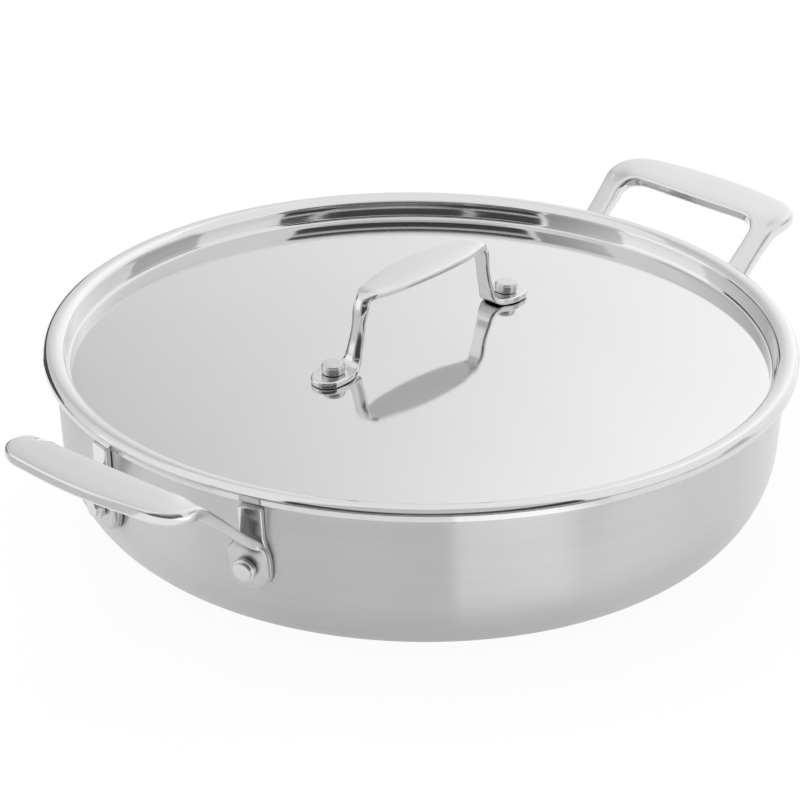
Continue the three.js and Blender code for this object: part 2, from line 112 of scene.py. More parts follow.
class SideHandleSizes(bpy.types.PropertyGroup):
    """Sizes of the two cast side handles"""
    bar_gap: length("Bar gap", "Finger room between lip and bar", 26.7)
    bar_width: length("Bar width", "Width of the grip bar", 24.0)
    bar_half: length("Bar half length", "Half the length of the bar", 50.5)
    bar_rise: length("Bar rise", "Height of the bar's face above the lip", 10.9)
    bar_thick: length("Bar thickness", "Thickness of the bar", 5.4)
    arm_inset: length("Arm inset", "Arm's middle in from the bar's end", 7.5)
    arm_width: length("Arm width", "Width of an arm", 11.0)
    arm_slope: ratio("Arm slope", "Fall of an arm for its run", 0.84)
    arm_thick: length("Arm thickness", "Thickness of an arm", 4.3)
    pad_inset: length("Pad inset", "Pad's middle in from the bar's end", 9.7)
    pad_width: length("Pad width", "Width of a riveted pad", 17.8)
    pad_thick: length("Pad thickness", "Thickness of the pad's front layer", 2.9)
    pad_drop: length("Pad drop", "Pad's reach below its rivet", 11.4)
    root_bend: length("Root bend", "Radius of the bend from arm to pad", 7.0)
    plate_thick: length("Plate thickness", "Thickness of the pad's rear layer", 2.0)
    plate_rim: length("Plate rim", "Reach of the rear layer past the front one", 0.5)
    tongue_width: length("Tongue width", "Width of the tongue behind an arm", 10.5)
    tongue_thick: length("Tongue thickness", "Thickness of the tongue", 2.6)
    tongue_stop: length("Tongue stop", "Tongue's end below the lip", 6.0)
    seat_gap: length("Seat gap", "Gap between handle and wall", 0.3)


class LidHandleSizes(bpy.types.PropertyGroup):
    """Sizes of the strap handle on the lid"""
    height: length("Height", "Height of the strap above the lid's middle", 34.0)
    width: length("Grip width", "Width of the strap at its middle", 20.6)
    thick: length("Grip thickness", "Thickness of the strap", 3.2)
    span: length("Half span", "Half the length of the upper strap", 41.3)
    leg_width: length("Leg width", "Width of a leg at its waist", 7.2)
    leg_thick: length("Leg thickness", "Thickness of a leg", 3.3)
    foot_offset: length("Foot offset", "Distance of a foot's rivet from the middle", 57.2)
    foot_width: length("Foot width", "Width of a foot", 15.0)
    foot_thick: length("Foot thickness", "Thickness of a foot", 2.8)
    foot_end: length("Foot end", "Foot's reach past its rivet", 11.0)


class RivetSizes(bpy.types.PropertyGroup):
    """Sizes of the pan and lid rivets"""
    drop: length("Drop", "Height of the pan rivets below the lip", 33.9)
    shank_radius: length("Shank radius", "Radius of the shank", 2.6)
    head_radius: length("Head radius", "Radius of the head", 5.1)
    head_height: length("Head height", "Height of the head", 4.3)
    tail_radius: length("Tail radius", "Radius of the flat tail", 6.5)
    tail_height: length("Tail height", "Height of the flat tail", 1.2)
    round_steps: IntProperty(name="Steps", description="Steps round a rivet", default=64, min=12)


class SteelFinishes(bpy.types.PropertyGroup):
    """Colours and roughness of the four steel finishes"""
    satin_tone: tone("Satin steel", "Colour of the brushed pan", (0.66, 0.66, 0.662))
    satin_rough: ratio("Satin roughness", "Roughness of the brushed pan", 0.34)
    mirror_tone: tone("Mirror steel", "Colour of the polished lid", (0.74, 0.742, 0.745))
    mirror_rough: ratio("Mirror roughness", "Roughness of the polished lid", 0.07)
    cast_tone: tone("Polished cast steel", "Colour of the handles", (0.72, 0.72, 0.722))
    cast_rough: ratio("Cast roughness", "Roughness of the handles", 0.13)
    rivet_tone: tone("Rivet steel", "Colour of the rivets", (0.68, 0.68, 0.682))
    rivet_rough: ratio("Rivet roughness", "Roughness of the rivets", 0.25)


class StageSettings(bpy.types.PropertyGroup):
    """Camera, floor and light"""
    floor_tone: tone("Floor", "Colour of the floor", (0.93, 0.93, 0.93))
    view_turn: FloatProperty(name="View turn", description="Camera's turn about the pan",
                             default=math.radians(-49.3), subtype="ANGLE")
    view_rise: FloatProperty(name="View rise", description="Camera's height above the horizon",
                             default=math.radians(25.209), subtype="ANGLE")
    view_roll: FloatProperty(name="View roll", description="Camera's tilt",
                             default=math.radians(0.7394), subtype="ANGLE")
    view_distance: length("View distance", "Camera's distance", 2000.0)
    view_height: length("View height", "Height that the camera looks at", 72.0)
    lens: ratio("Lens", "Focal length in millimetres on a 36 mm sensor", 205.434)


class ServingPanSettings(bpy.types.PropertyGroup):
    """All settings of the serving pan"""
    pan: PointerProperty(type=PanSizes)
    lid: PointerProperty(type=LidSizes)
    side_handles: PointerProperty(type=SideHandleSizes)
    lid_handle: PointerProperty(type=LidHandleSizes)
    rivets: PointerProperty(type=RivetSizes)
    finishes: PointerProperty(type=SteelFinishes)
    stage: PointerProperty(type=StageSettings)


# Shapes of the turned sheets

def smoothstep(value, low, high):
    """Soft step from 0 at low to 1 at high."""
    part = min(max((value - low) / (high - low), 0.0), 1.0)
    return part * part * (3.0 - 2.0 * part)


class PanShape:
    """Pan wall: a lean line between the lip bend and an elliptical lower corner."""
    # Part of the base and of the floor that is ruled evenly, out to the corner
    flat_share = 0.96
    # The wall's bend stops this far under the lip's bead, in metres
    bead_room = 0.0002
    # Angle at which the bend's inside meets the lip's face, in radians
    face_angle = 1.46
    # Limits that keep the slopes finite: rise in the lip's bend, and angle in the corner in radians
    most_rise = 0.99
    least_angle = 0.05

    def __init__(self, sizes):
        self.sizes = sizes
        self.bend_z = sizes.height - sizes.sheet - sizes.lip_bend
        self.lean_angle = math.atan(sizes.wall_lean)
        self.wall_top_radius = sizes.lip_radius - sizes.lip_bend * math.cos(self.lean_angle)
        self.wall_top_z = self.bend_z + sizes.lip_bend * math.sin(self.lean_angle)
        reach = self.wall_top_radius - sizes.wall_lean * (self.wall_top_z - sizes.corner_height)
        reach -= sizes.base_radius
        lean_rise = sizes.wall_lean * sizes.corner_height
        self.corner_run = math.sqrt(reach * reach - lean_rise * lean_rise)
        self.corner_end = math.atan2(self.corner_run, lean_rise)

    def corner_point(self, angle, inset):
        """Point of the lower corner, moved in by inset."""
        sizes = self.sizes
        normal = Vector((math.sin(angle) / self.corner_run, -math.cos(angle) / sizes.corner_height))
        normal.normalize()
        radius = sizes.base_radius + self.corner_run * math.sin(angle) - inset * normal.x
        return radius, sizes.corner_height * (1.0 - math.cos(angle)) - inset * normal.y

    def lip_point(self, angle, bend):
        """Point of the lip's bend at a bend radius."""
        return self.sizes.lip_radius - bend * math.cos(angle), self.bend_z + bend * math.sin(angle)

    def outside_at(self, z):
        """Outside radius and its change with height."""
        sizes = self.sizes
        if z > self.wall_top_z:
            rise = min((z - self.bend_z) / sizes.lip_bend, self.most_rise)
            side = math.sqrt(1.0 - rise * rise)
            return sizes.lip_radius - sizes.lip_bend * side, rise / side
        cosine = 1.0 - z / sizes.corner_height
        if cosine > math.cos(self.corner_end):
            angle = math.acos(cosine)
            slope = (self.corner_run / sizes.corner_height) / math.tan(max(angle, self.least_angle))
            return sizes.base_radius + self.corner_run * math.sin(angle), slope
        return self.wall_top_radius - sizes.wall_lean * (self.wall_top_z - z), sizes.wall_lean

    def wall_point(self, z, y, lift):
        """Point on the +X wall lifted off it, and the wall's outward direction."""
        radius, slope = self.outside_at(z)
        point = Vector((math.sqrt(radius * radius - y * y), y, z))
        normal = Vector((point.x / radius, y / radius, -slope)).normalized()
        return point + normal * lift, normal

    def profile(self):
        """Radius and height pairs: outside from the base up, round the lip, inside down to the floor."""
        sizes = self.sizes
        line = [(sizes.base_radius * part, 0.0) for part in np.linspace(0.0, self.flat_share, 9)]
        for angle in np.linspace(0.0, self.corner_end, 44):
            line.append(self.corner_point(angle, 0.0))
        line.extend(straight(line[-1], self.lip_point(self.lean_angle, sizes.lip_bend), 8)[1:-1])
        low = sizes.height - sizes.sheet - sizes.lip_bead
        bead_angle = math.asin((low - self.bead_room - self.bend_z) / sizes.lip_bend)
        for angle in np.linspace(self.lean_angle, bead_angle, 22):
            line.append(self.lip_point(angle, sizes.lip_bend))
        rim = sizes.lip_radius - sizes.edge_round
        line.extend(arc((rim, low + sizes.edge_round), sizes.edge_round, -90.0, 0.0, 7))
        line.extend(arc((rim, sizes.height - sizes.edge_round), sizes.edge_round, 0.0, 90.0, 7))
        for angle in np.linspace(self.face_angle, self.lean_angle, 24):
            line.append(self.lip_point(angle, sizes.lip_bend + sizes.sheet))
        top = self.corner_point(self.corner_end, sizes.sheet)
        line.extend(straight(line[-1], top, 8)[1:-1])
        for angle in np.linspace(self.corner_end, 0.0, 44):
            line.append(self.corner_point(angle, sizes.sheet))
        for part in np.linspace(self.flat_share, 0.0, 9):
            line.append((sizes.base_radius * part, sizes.sheet))
        return line


def straight(start, end, steps):
    """Evenly spaced points from start to end."""
    return [tuple(point) for point in np.linspace(start, end, steps + 1)]


def arc(centre, radius, start, end, steps):
    """Points on an arc between two angles in degrees."""
    angles = np.radians(np.linspace(start, end, steps))
    return [(centre[0] + radius * math.cos(a), centre[1] + radius * math.sin(a)) for a in angles]


class LidShape:
    """Lid sheet: low dome, recess wall, crowned flange and turned-down edge."""
    # Points of the recess wall, as parts of its run and depth
    wall_keys = ((0.12, 0.02), (0.34, 0.12), (0.52, 0.31), (0.82, 0.78), (1.0, 1.0))
    # Points of the flange, as parts of its width and crown
    flange_keys = ((0.13, 0.46), (0.34, 0.88), (0.54, 1.0), (0.68, 0.95), (0.8, 0.76), (0.99, -0.06))
    # Fillet inside the disc's rim, room inside the edge, and inset of the edge's lowest point, in metres
    rim_fillet = 0.0012
    edge_room = 0.0004
    low_inset = 0.00004
    # Rounding of the edge, as a part of the sheet
    tip_share = 0.2

    def __init__(self, sizes, pan):
        self.sizes = sizes
        self.edge_radius = pan.lip_radius + sizes.overhang
        self.edge_z = pan.height + sizes.seat_gap
        self.flange_z = self.edge_z + sizes.edge_drop
        self.flange_inner = self.edge_radius - sizes.flange_width
        self.disc_radius = self.flange_inner - sizes.recess_run
        self.disc_z = self.flange_z - sizes.recess_depth

    def dome_z(self, radius):
        """Height of the dome at a radius."""
        return self.disc_z + self.sizes.dome_rise * (1.0 - (radius / self.disc_radius) ** 2)

    def dome_slope(self, radius):
        """Change of the dome's height with the radius."""
        return -2.0 * self.sizes.dome_rise * radius / self.disc_radius ** 2

    def profile(self):
        """Radius and height pairs: face from the middle out, round the edge, under side back in."""
        sizes = self.sizes
        dome_end = self.disc_radius - self.rim_fillet
        radii = dome_end * np.linspace(0.0, 1.0, 40)
        face = [(radius, self.dome_z(radius)) for radius in radii]
        keys = [face[-2], face[-1]]
        for out, up in self.wall_keys:
            keys.append((self.disc_radius + sizes.recess_run * out,
                         self.disc_z + sizes.recess_depth * up))
        for out, up in self.flange_keys:
            keys.append((self.flange_inner + sizes.flange_width * out,
                         self.flange_z + sizes.flange_crown * up))
        bent = smooth_line(np.array(keys), 9)
        face.extend(tuple(point) for point in bent[10:])
        points = np.array(face)
        along = np.gradient(points, axis=0)
        along /= np.linalg.norm(along, axis=1)[:, None]
        under = points + np.stack([along[:, 1], -along[:, 0]], 1) * sizes.sheet
        under[0, 0] = 0.0
        inner_edge = self.edge_radius - sizes.sheet
        under = [tuple(point) for point in under if point[0] < inner_edge - self.edge_room]
        tip = sizes.sheet * self.tip_share
        under.extend(straight((inner_edge, self.flange_z + sizes.flange_crown * 0.1),
                              (inner_edge, self.edge_z + tip), 3))
        face.extend(arc((self.edge_radius - tip, self.edge_z), tip, 36.0, 4.0, 5))
        face.append((self.edge_radius - self.low_inset, self.edge_z))
        under.extend(arc((inner_edge + tip, self.edge_z + tip), tip, 195.0, 270.0, 6))
        return face + under[::-1]


def smooth_line(rows, steps, places=None):
    """Rows on a smooth curve through the given rows, spaced by the chords between places."""
    places = rows if places is None else places
    span = np.linalg.norm(np.diff(places, axis=0), axis=1)
    count = len(rows)
    matrix = np.eye(count)
    pull = np.zeros_like(rows)
    for k in range(1, count - 1):
        matrix[k, k - 1:k + 2] = span[k - 1], 2.0 * (span[k - 1] + span[k]), span[k]
        pull[k] = 6.0 * ((rows[k + 1] - rows[k]) / span[k] - (rows[k] - rows[k - 1]) / span[k - 1])
    bend = np.linalg.solve(matrix, pull)
    result = []
    for k in range(count - 1):
        for b in np.arange(steps) / steps:
            a = 1.0 - b
            curve = (a ** 3 - a) * bend[k] + (b ** 3 - b) * bend[k + 1]
            result.append(a * rows[k] + b * rows[k + 1] + span[k] ** 2 / 6.0 * curve)
    result.append(rows[-1])
    return np.array(result)


# Straps: sections between an inner and an outer edge on the face, skinned from end to end

# Middle part of a crowned face that stays flat, and how sharply its bevels fall
FLAT_SHARE = 0.4
BEVEL_POWER = 1.2


class Station:
    """Section of a strap: its edges on the face, thickness, wrap to the pan, edge rounding and crown."""

    def __init__(self, inner, outer, thick, wrap=0.0, rounds=(0.36, 0.36), face=None, end=None, crown=0.0):
        self.inner = Vector(inner)
        self.outer = Vector(outer)
        self.thick = thick
        self.wrap = wrap
        self.rounds = rounds
        self.face = face
        self.end = end
        self.crown = crown

    def row(self):
        """Numbers of the section for smoothing."""
        return [*self.inner, *self.outer, self.thick, self.wrap, *self.rounds, self.crown]


def smooth_stations(stations, steps):
    """Stations on a smooth curve through the given ones."""
    rows = np.array([station.row() for station in stations])
    places = (rows[:, 0:3] + rows[:, 3:6]) / 2.0
    return [Station(row[0:3], row[3:6], row[6], row[7], tuple(row[8:10]), crown=row[10])
            for row in smooth_line(rows, steps, places)]


def edge_drop(distance, radius):
    """Fall of a rounded face at a distance from its outline."""
    inside = max(radius - distance, 0.0)
    return radius - math.sqrt(max(radius * radius - inside * inside, 0.0))


def section(width, thick, rounds, end):
    """Outline of a strap section; end gives the radius of a round end and the distance past its centre."""
    half = width / 2.0
    radius, past = end if end else (half, 0.0)
    outline = []
    for top in (True, False):
        share = rounds[0] if top else rounds[1]
        size = share * thick
        flat = max((radius - size) ** 2 - past * past, 0.0) if radius > size else 0.0
        reach = half - min(math.sqrt(flat), half)
        quarter = []
        for angle in np.radians(np.linspace(0.0, 90.0, 7)):
            across = half - reach * (1.0 - math.cos(angle))
            distance = max(radius - math.hypot(across, past), 0.0)
            quarter.append((across, edge_drop(distance, size)))
        middle = [(quarter[-1][0] * part, quarter[-1][1]) for part in np.linspace(0.75, 0.0, 4)]
        side = quarter + middle
        whole = side + [(-across, fall) for across, fall in side[-2::-1]]
        if top:
            outline.extend((across, -fall) for across, fall in whole)
        else:
            outline.extend((across, fall - thick) for across, fall in whole[::-1])
    return outline


def strap_rings(stations, pan_radius):
    """Rings of points through the stations."""
    middles = [(station.inner + station.outer) / 2.0 for station in stations]
    rings = []
    last = len(stations) - 1
    for k, station in enumerate(stations):
        across = station.outer - station.inner
        width = across.length
        across.normalize()
        along = middles[min(k + 1, last)] - middles[max(k - 1, 0)]
        face = Vector(station.face) if station.face else along.cross(across)
        face.normalize()
        ring = []
        for p, q in section(width, station.thick, station.rounds, station.end):
            sink = station.wrap * ((width / 2.0) ** 2 - p * p) / (2.0 * pan_radius)
            if q > -station.thick / 2.0:
                bevel = max(abs(2.0 * p / width) - FLAT_SHARE, 0.0) / (1.0 - FLAT_SHARE)
                sink += station.crown * bevel ** BEVEL_POWER
            ring.append(middles[k] + across * p + face * (q - sink))
        rings.append(ring)
    return rings


def skin(shell, rings):
    """Adds a closed skin through rings to a bmesh."""
    loops = [[shell.verts.new(point) for point in ring] for ring in rings]
    size = len(loops[0])
    for low, high in zip(loops, loops[1:]):
        for j in range(size):
            k = (j + 1) % size
            shell.faces.new((low[j], low[k], high[k], high[j]))
    for loop in (loops[0], loops[-1]):
        hub = shell.verts.new(sum((vert.co for vert in loop), Vector()) / size)
        for j in range(size):
            shell.faces.new((loop[j], loop[(j + 1) % size], hub))


def mirrored(station, axis):
    """The station mirrored in the plane across an axis."""
    def flip(point):
        point = Vector(point)
        point[axis] = -point[axis]
        return point
    face = flip(station.face) if station.face else None
    return Station(flip(station.inner), flip(station.outer), station.thick, station.wrap, station.rounds,
                   face, station.end, station.crown)


class SideHandleShape:
    """Cast side handle on the +X side: bar, two arms, two pads, and plates with tongues behind the pads."""
    # Bend from bar to arm: where it lies past the bar's inner edge, and its softness in square metres
    bend_place = 0.0004
    bend_softness = 1.4e-5
    # The slope starts and is full at these distances from the arm's inner side
    slope_start = -0.013
    slope_full = 0.003
    # Rise of the bar's face towards its outer edge, and fall of its bevelled edges in metres
    bar_tilt = 0.04
    bar_crown = 0.0004
    # Height above the rivet at which the arm is first taken to meet the pad
    root_guess = 0.011
    # Parts of the root's bend between which the arm widens to the pad, and thins to it
    widening = (0.3, 1.45)
    thinning = (0.3, 1.1)
    # Edge rounding at face and back, as parts of the thickness, and its change down the root
    arm_round = 0.22
    root_change = (-0.06, 0.14)
    pad_rounds = (0.16, 0.4)
    plate_rounds = (0.12, 0.16)
    # Loss of the pad's thickness from place to place down its round end
    pad_thinning = 0.05
    # Heights above the rivet between which the plate draws in to the tongue
    neck_rise = (0.002, 0.015)
    # Tongue's middle in from the arm's, rounding of its corners, and the plate's seat in the pad, in metres
    tongue_shift = 0.0006
    tongue_corner = 0.0014
    plate_seat = 0.0005

    def __init__(self, sizes, rivets, pan):
        self.sizes = sizes
        self.pan = pan
        lip = pan.sizes
        self.bar_inner = lip.lip_radius + sizes.bar_gap
        self.bar_outer = self.bar_inner + sizes.bar_width
        self.bar_top = lip.height + sizes.bar_rise
        self.arm_offset = sizes.bar_half - sizes.arm_inset
        self.pad_offset = sizes.bar_half - sizes.pad_inset
        self.rivet_z = lip.height - rivets.drop
        self.arm_inner = self.arm_offset - sizes.arm_width / 2.0
        self.arm_outer = self.arm_offset + sizes.arm_width / 2.0
        self.bend_x = self.bar_inner + self.bend_place
        self.pad_round = sizes.pad_width / 2.0
        self.pad_round_z = self.rivet_z - sizes.pad_drop + self.pad_round

    def face_z(self, x, y):
        """Face height of bar and arms: the arms drop away from the bar past a soft bend."""
        share = smoothstep(abs(y), self.arm_inner + self.slope_start, self.arm_inner + self.slope_full)
        beyond = self.bend_x - x
        drop = self.sizes.arm_slope * (beyond + math.sqrt(beyond * beyond + self.bend_softness)) / 2.0
        return self.bar_top + self.bar_tilt * (x - self.bar_inner) - share * drop

    def wall_station(self, z, low, high, lift, thick, rounds, end=None):
        """Section lying on the wall between two places across, facing it."""
        gap = self.sizes.seat_gap + lift
        inner, inner_normal = self.pan.wall_point(z, low, gap)
        outer, outer_normal = self.pan.wall_point(z, high, gap)
        face = -(inner_normal + outer_normal)
        return Station(inner, outer, thick, 1.0, rounds, face, end)

    def bar_stations(self):
        """Half of the bar and its shoulder, from the middle to the arm."""
        sizes = self.sizes
        inner, outer, half = self.bar_inner, self.bar_outer, sizes.bar_half
        shoulder = self.arm_inner
        thick, arm = sizes.bar_thick, sizes.arm_thick
        middle = (half + self.arm_outer) / 2.0 + 0.0005
        # Inner edge, how far its dip is filled, outer edge, thickness and edge rounding
        places = (
            (inner, 0.0, 0.0, outer, 0.0, thick, 0.22),
            (inner, shoulder * 0.38, 0.0, outer - 0.0005, half * 0.3, thick, 0.22),
            (inner, shoulder * 0.72, 0.0001, outer - 0.0022, half * 0.62, thick, 0.23),
            (inner - 0.0009, shoulder - 0.0046, 0.0009, outer - 0.0052, half * 0.85, thick + 0.0006, 0.28),
            (inner - 0.0028, shoulder - 0.0017, 0.0015, outer - 0.0104, half * 0.965, thick + 0.0012, 0.36),
            (inner - 0.0054, shoulder - 0.0004, 0.0014, outer - 0.0172, half, thick + 0.0014, 0.4),
            (inner - 0.0082, shoulder, 0.0009, outer - 0.0244, middle, thick + 0.001, 0.36),
            (inner - 0.0114, shoulder, 0.0003, outer - 0.032, self.arm_outer + 0.0005, arm + 0.0013, 0.29),
            (inner - 0.0156, shoulder, 0.0, outer - 0.0386, self.arm_outer, arm + 0.0006, 0.24),
        )
        stations = []
        for ax, ay, filled, bx, by, depth, edge in places:
            near = (ax, ay, self.face_z(ax, ay) + filled)
            far = (bx, by, self.face_z(bx, by))
            stations.append(Station(near, far, depth, rounds=(edge, edge), crown=self.bar_crown))
        return stations

    def root_stations(self):
        """Arm root: the arm's face turns down to the wall on a bend, as it widens to the pad."""
        sizes = self.sizes
        lift = sizes.seat_gap + sizes.plate_thick
        corner_x, corner_z = 0.0, self.rivet_z + self.root_guess
        # Steps between the wall and the arm's face close in on the point where they meet
        for _ in range(12):
            corner_x = self.pan.wall_point(corner_z, self.arm_offset, lift)[0].x
            corner_z = self.face_z(corner_x, self.arm_offset)
        arm_angle = math.atan(sizes.arm_slope)
        reach = sizes.root_bend * math.tan((math.pi / 2.0 - arm_angle) / 2.0)
        corner = Vector((corner_x, corner_z))
        above = corner + Vector((math.cos(arm_angle), math.sin(arm_angle))) * reach
        below = corner + Vector((-self.pan.sizes.wall_lean, -1.0)) * reach
        stations = []
        for part in (0.0, 0.25, 0.5, 0.75, 1.0):
            x, z = (1.0 - part) ** 2 * above + 2.0 * part * (1.0 - part) * corner + part * part * below
            share = smoothstep(part, *self.widening)
            low = self.arm_inner + (self.pad_offset - self.pad_round - self.arm_inner) * share
            high = self.arm_outer + (self.pad_offset + self.pad_round - self.arm_outer) * share
            level = self.pan.wall_point(z, self.arm_offset, 0.0)[0].x
            inner_x = x + part * (self.pan.wall_point(z, low, 0.0)[0].x - level)
            outer_x = x + part * (self.pan.wall_point(z, high, 0.0)[0].x - level)
            thick = sizes.arm_thick + (sizes.pad_thick - sizes.arm_thick) * smoothstep(part, *self.thinning)
            rounds = [self.arm_round + change * part for change in self.root_change]
            stations.append(Station((inner_x, low, z), (outer_x, high, z), thick, part, rounds))
        return stations

    def pad_stations(self, root_z):
        """Pad from the root down to its round end, thinning towards it."""
        sizes = self.sizes
        rows = [((root_z + self.pad_round_z) / 2.0, 0.0, 0.0)]
        for angle in np.radians(np.linspace(0.0, END_ANGLE, 22)):
            past = self.pad_round * math.sin(angle)
            rows.append((self.pad_round_z - past, past, 1.0 + 5.0 * angle / math.radians(END_ANGLE)))
        stations = []
        for z, past, place in rows:
            thin = 1.0 - self.pad_thinning * place
            reach = math.sqrt(self.pad_round ** 2 - past ** 2)
            stations.append(self.wall_station(z, self.pad_offset - reach, self.pad_offset + reach,
                                              sizes.plate_thick * thin, sizes.pad_thick * thin,
                                              self.pad_rounds, (self.pad_round, past)))
        return stations

    def strap_stations(self):
        """The whole strap from pad to pad."""
        root = self.root_stations()
        pad = self.pad_stations(root[-1].inner.z)
        half = self.bar_stations() + root + pad[:2]
        chain = half[:0:-1] + [mirrored(station, 1) for station in half]
        steps = 7
        fine = smooth_stations(chain, steps)
        # The sections on the pads lie on the wall, so they come as they are
        middle = fine[steps:-steps]
        return pad[::-1] + middle[1:-1] + [mirrored(station, 1) for station in pad]

    def plate_stations(self):
        """Back plate of the +Y pad: the pad's rear layer, drawn in to the tongue behind the arm."""
        sizes = self.sizes
        rim = self.pad_round + sizes.plate_rim
        neck = [self.rivet_z + rise for rise in self.neck_rise]
        tongue_mid = self.arm_offset - self.tongue_shift
        half = sizes.tongue_width / 2.0
        rows = []
        for angle in np.radians(np.linspace(END_ANGLE, 0.0, 22)):
            past = rim * math.sin(angle)
            reach = math.sqrt(rim * rim - past * past)
            rows.append((self.pad_round_z - past, self.pad_offset - reach, self.pad_offset + reach,
                         (rim, past)))
        for part in np.linspace(0.0, 1.0, 16):
            share = smoothstep(part, 0.0, 1.0)
            low = self.pad_offset - rim
            high = self.pad_offset + rim
            rows.append((neck[0] + (neck[1] - neck[0]) * part, low + (tongue_mid - half - low) * share,
                         high + (tongue_mid + half - high) * share, None))
        top = self.pan.sizes.height - sizes.tongue_stop
        corner = self.tongue_corner
        for z in np.linspace(neck[1], top - corner, 10)[1:]:
            rows.append((z, tongue_mid - half, tongue_mid + half, None))
        for angle in np.radians(np.linspace(0.0, 80.0, 8))[1:]:
            inset = corner * (1.0 - math.cos(angle))
            rows.append((top - corner + corner * math.sin(angle), tongue_mid - half + inset,
                         tongue_mid + half - inset, None))
        stations = []
        for z, low, high, end in rows:
            share = smoothstep(z, neck[0], neck[1])
            thick = sizes.plate_thick + self.plate_seat
            thick += (sizes.tongue_thick - thick) * share
            stations.append(self.wall_station(z, low, high, 0.0, thick, self.plate_rounds, end))
        return stations


class LidHandleShape:
    """Strap handle on the lid, from foot to foot."""
    # Edge rounding of the strap and of its feet, at face and back, as parts of the thickness
    strap_rounds = (0.24, 0.3)
    foot_rounds = (0.36, 0.12)
    # Leg's set-back from the foot's inner end, in metres
    leg_set_back = 0.0038

    def __init__(self, sizes, lid):
        self.sizes = sizes
        self.lid = lid

    def station(self, x, z, width, thick, crown=0.0):
        """Section across the strap at a place along it."""
        half = width / 2.0
        return Station((x, -half, z), (x, half, z), thick, rounds=self.strap_rounds, crown=crown)

    def foot_z(self, x):
        """Face height of a foot."""
        return self.lid.dome_z(x) + self.lid.sizes.seat_gap + self.sizes.foot_thick

    def stations(self):
        """Half of the strap mirrored to the whole."""
        sizes = self.sizes
        width = sizes.foot_width
        bend = width / 2.0
        end_x = sizes.foot_offset + sizes.foot_end
        foot = []
        for angle in np.radians(np.linspace(END_ANGLE, 0.0, 22)):
            past = bend * math.sin(angle)
            x = end_x - bend + past
            across = 2.0 * math.sqrt(bend * bend - past * past)
            piece = self.station(x, self.foot_z(x), across, sizes.foot_thick)
            piece.face = Vector((-self.lid.dome_slope(x), 0.0, 1.0))
            piece.end = (bend, past)
            piece.rounds = self.foot_rounds
            foot.append(piece)
        in_x = sizes.foot_offset - bend
        base_z = self.foot_z(in_x)
        top_z = self.lid.dome_z(0.0) + sizes.height
        rise = top_z - base_z
        span = sizes.span

        def leg_x(part):
            """Place along the leaning leg."""
            return in_x - self.leg_set_back + (span - in_x + self.leg_set_back) * part

        # Place along the handle, height, width, thickness and crown, from the foot to the middle
        body = [self.station(*place) for place in (
            (in_x + 0.002, self.foot_z(in_x + 0.002), width, sizes.foot_thick),
            (in_x - 0.0006, base_z + 0.00015, width * 0.82, sizes.foot_thick + 0.0001, 0.0002),
            (in_x - 0.0023, base_z + 0.0014, width * 0.66, sizes.leg_thick, 0.0008),
            (in_x - 0.0035, base_z + 0.0044, width * 0.55, sizes.leg_thick, 0.0012),
            (leg_x(0.22), base_z + rise * 0.28, sizes.leg_width * 1.08, sizes.leg_thick, 0.0013),
            (leg_x(0.6), base_z + rise * 0.55, sizes.leg_width, sizes.leg_thick, 0.0013),
            (leg_x(0.97), base_z + rise * 0.8, sizes.leg_width * 1.1, sizes.leg_thick, 0.0012),
            (span - 0.0016, base_z + rise * 0.9, sizes.width * 0.36, sizes.leg_thick, 0.001),
            (span - 0.0046, base_z + rise * 0.953, sizes.width * 0.47, sizes.thick, 0.0006),
            (span * 0.76, base_z + rise * 0.972, sizes.width * 0.61, sizes.thick, 0.0006),
            (span * 0.56, base_z + rise * 0.983, sizes.width * 0.81, sizes.thick, 0.0006),
            (span * 0.3, base_z + rise * 0.995, sizes.width * 0.95, sizes.thick, 0.0006),
            (0.0, base_z + rise, sizes.width, sizes.thick, 0.0006),
        )]
        half = [foot[-1]] + body
        chain = [mirrored(station, 0) for station in half[:-1]] + half[::-1]
        fine = smooth_stations(chain, 9)
        return [mirrored(station, 0) for station in foot] + fine[1:-1] + foot[::-1]


# Node trees

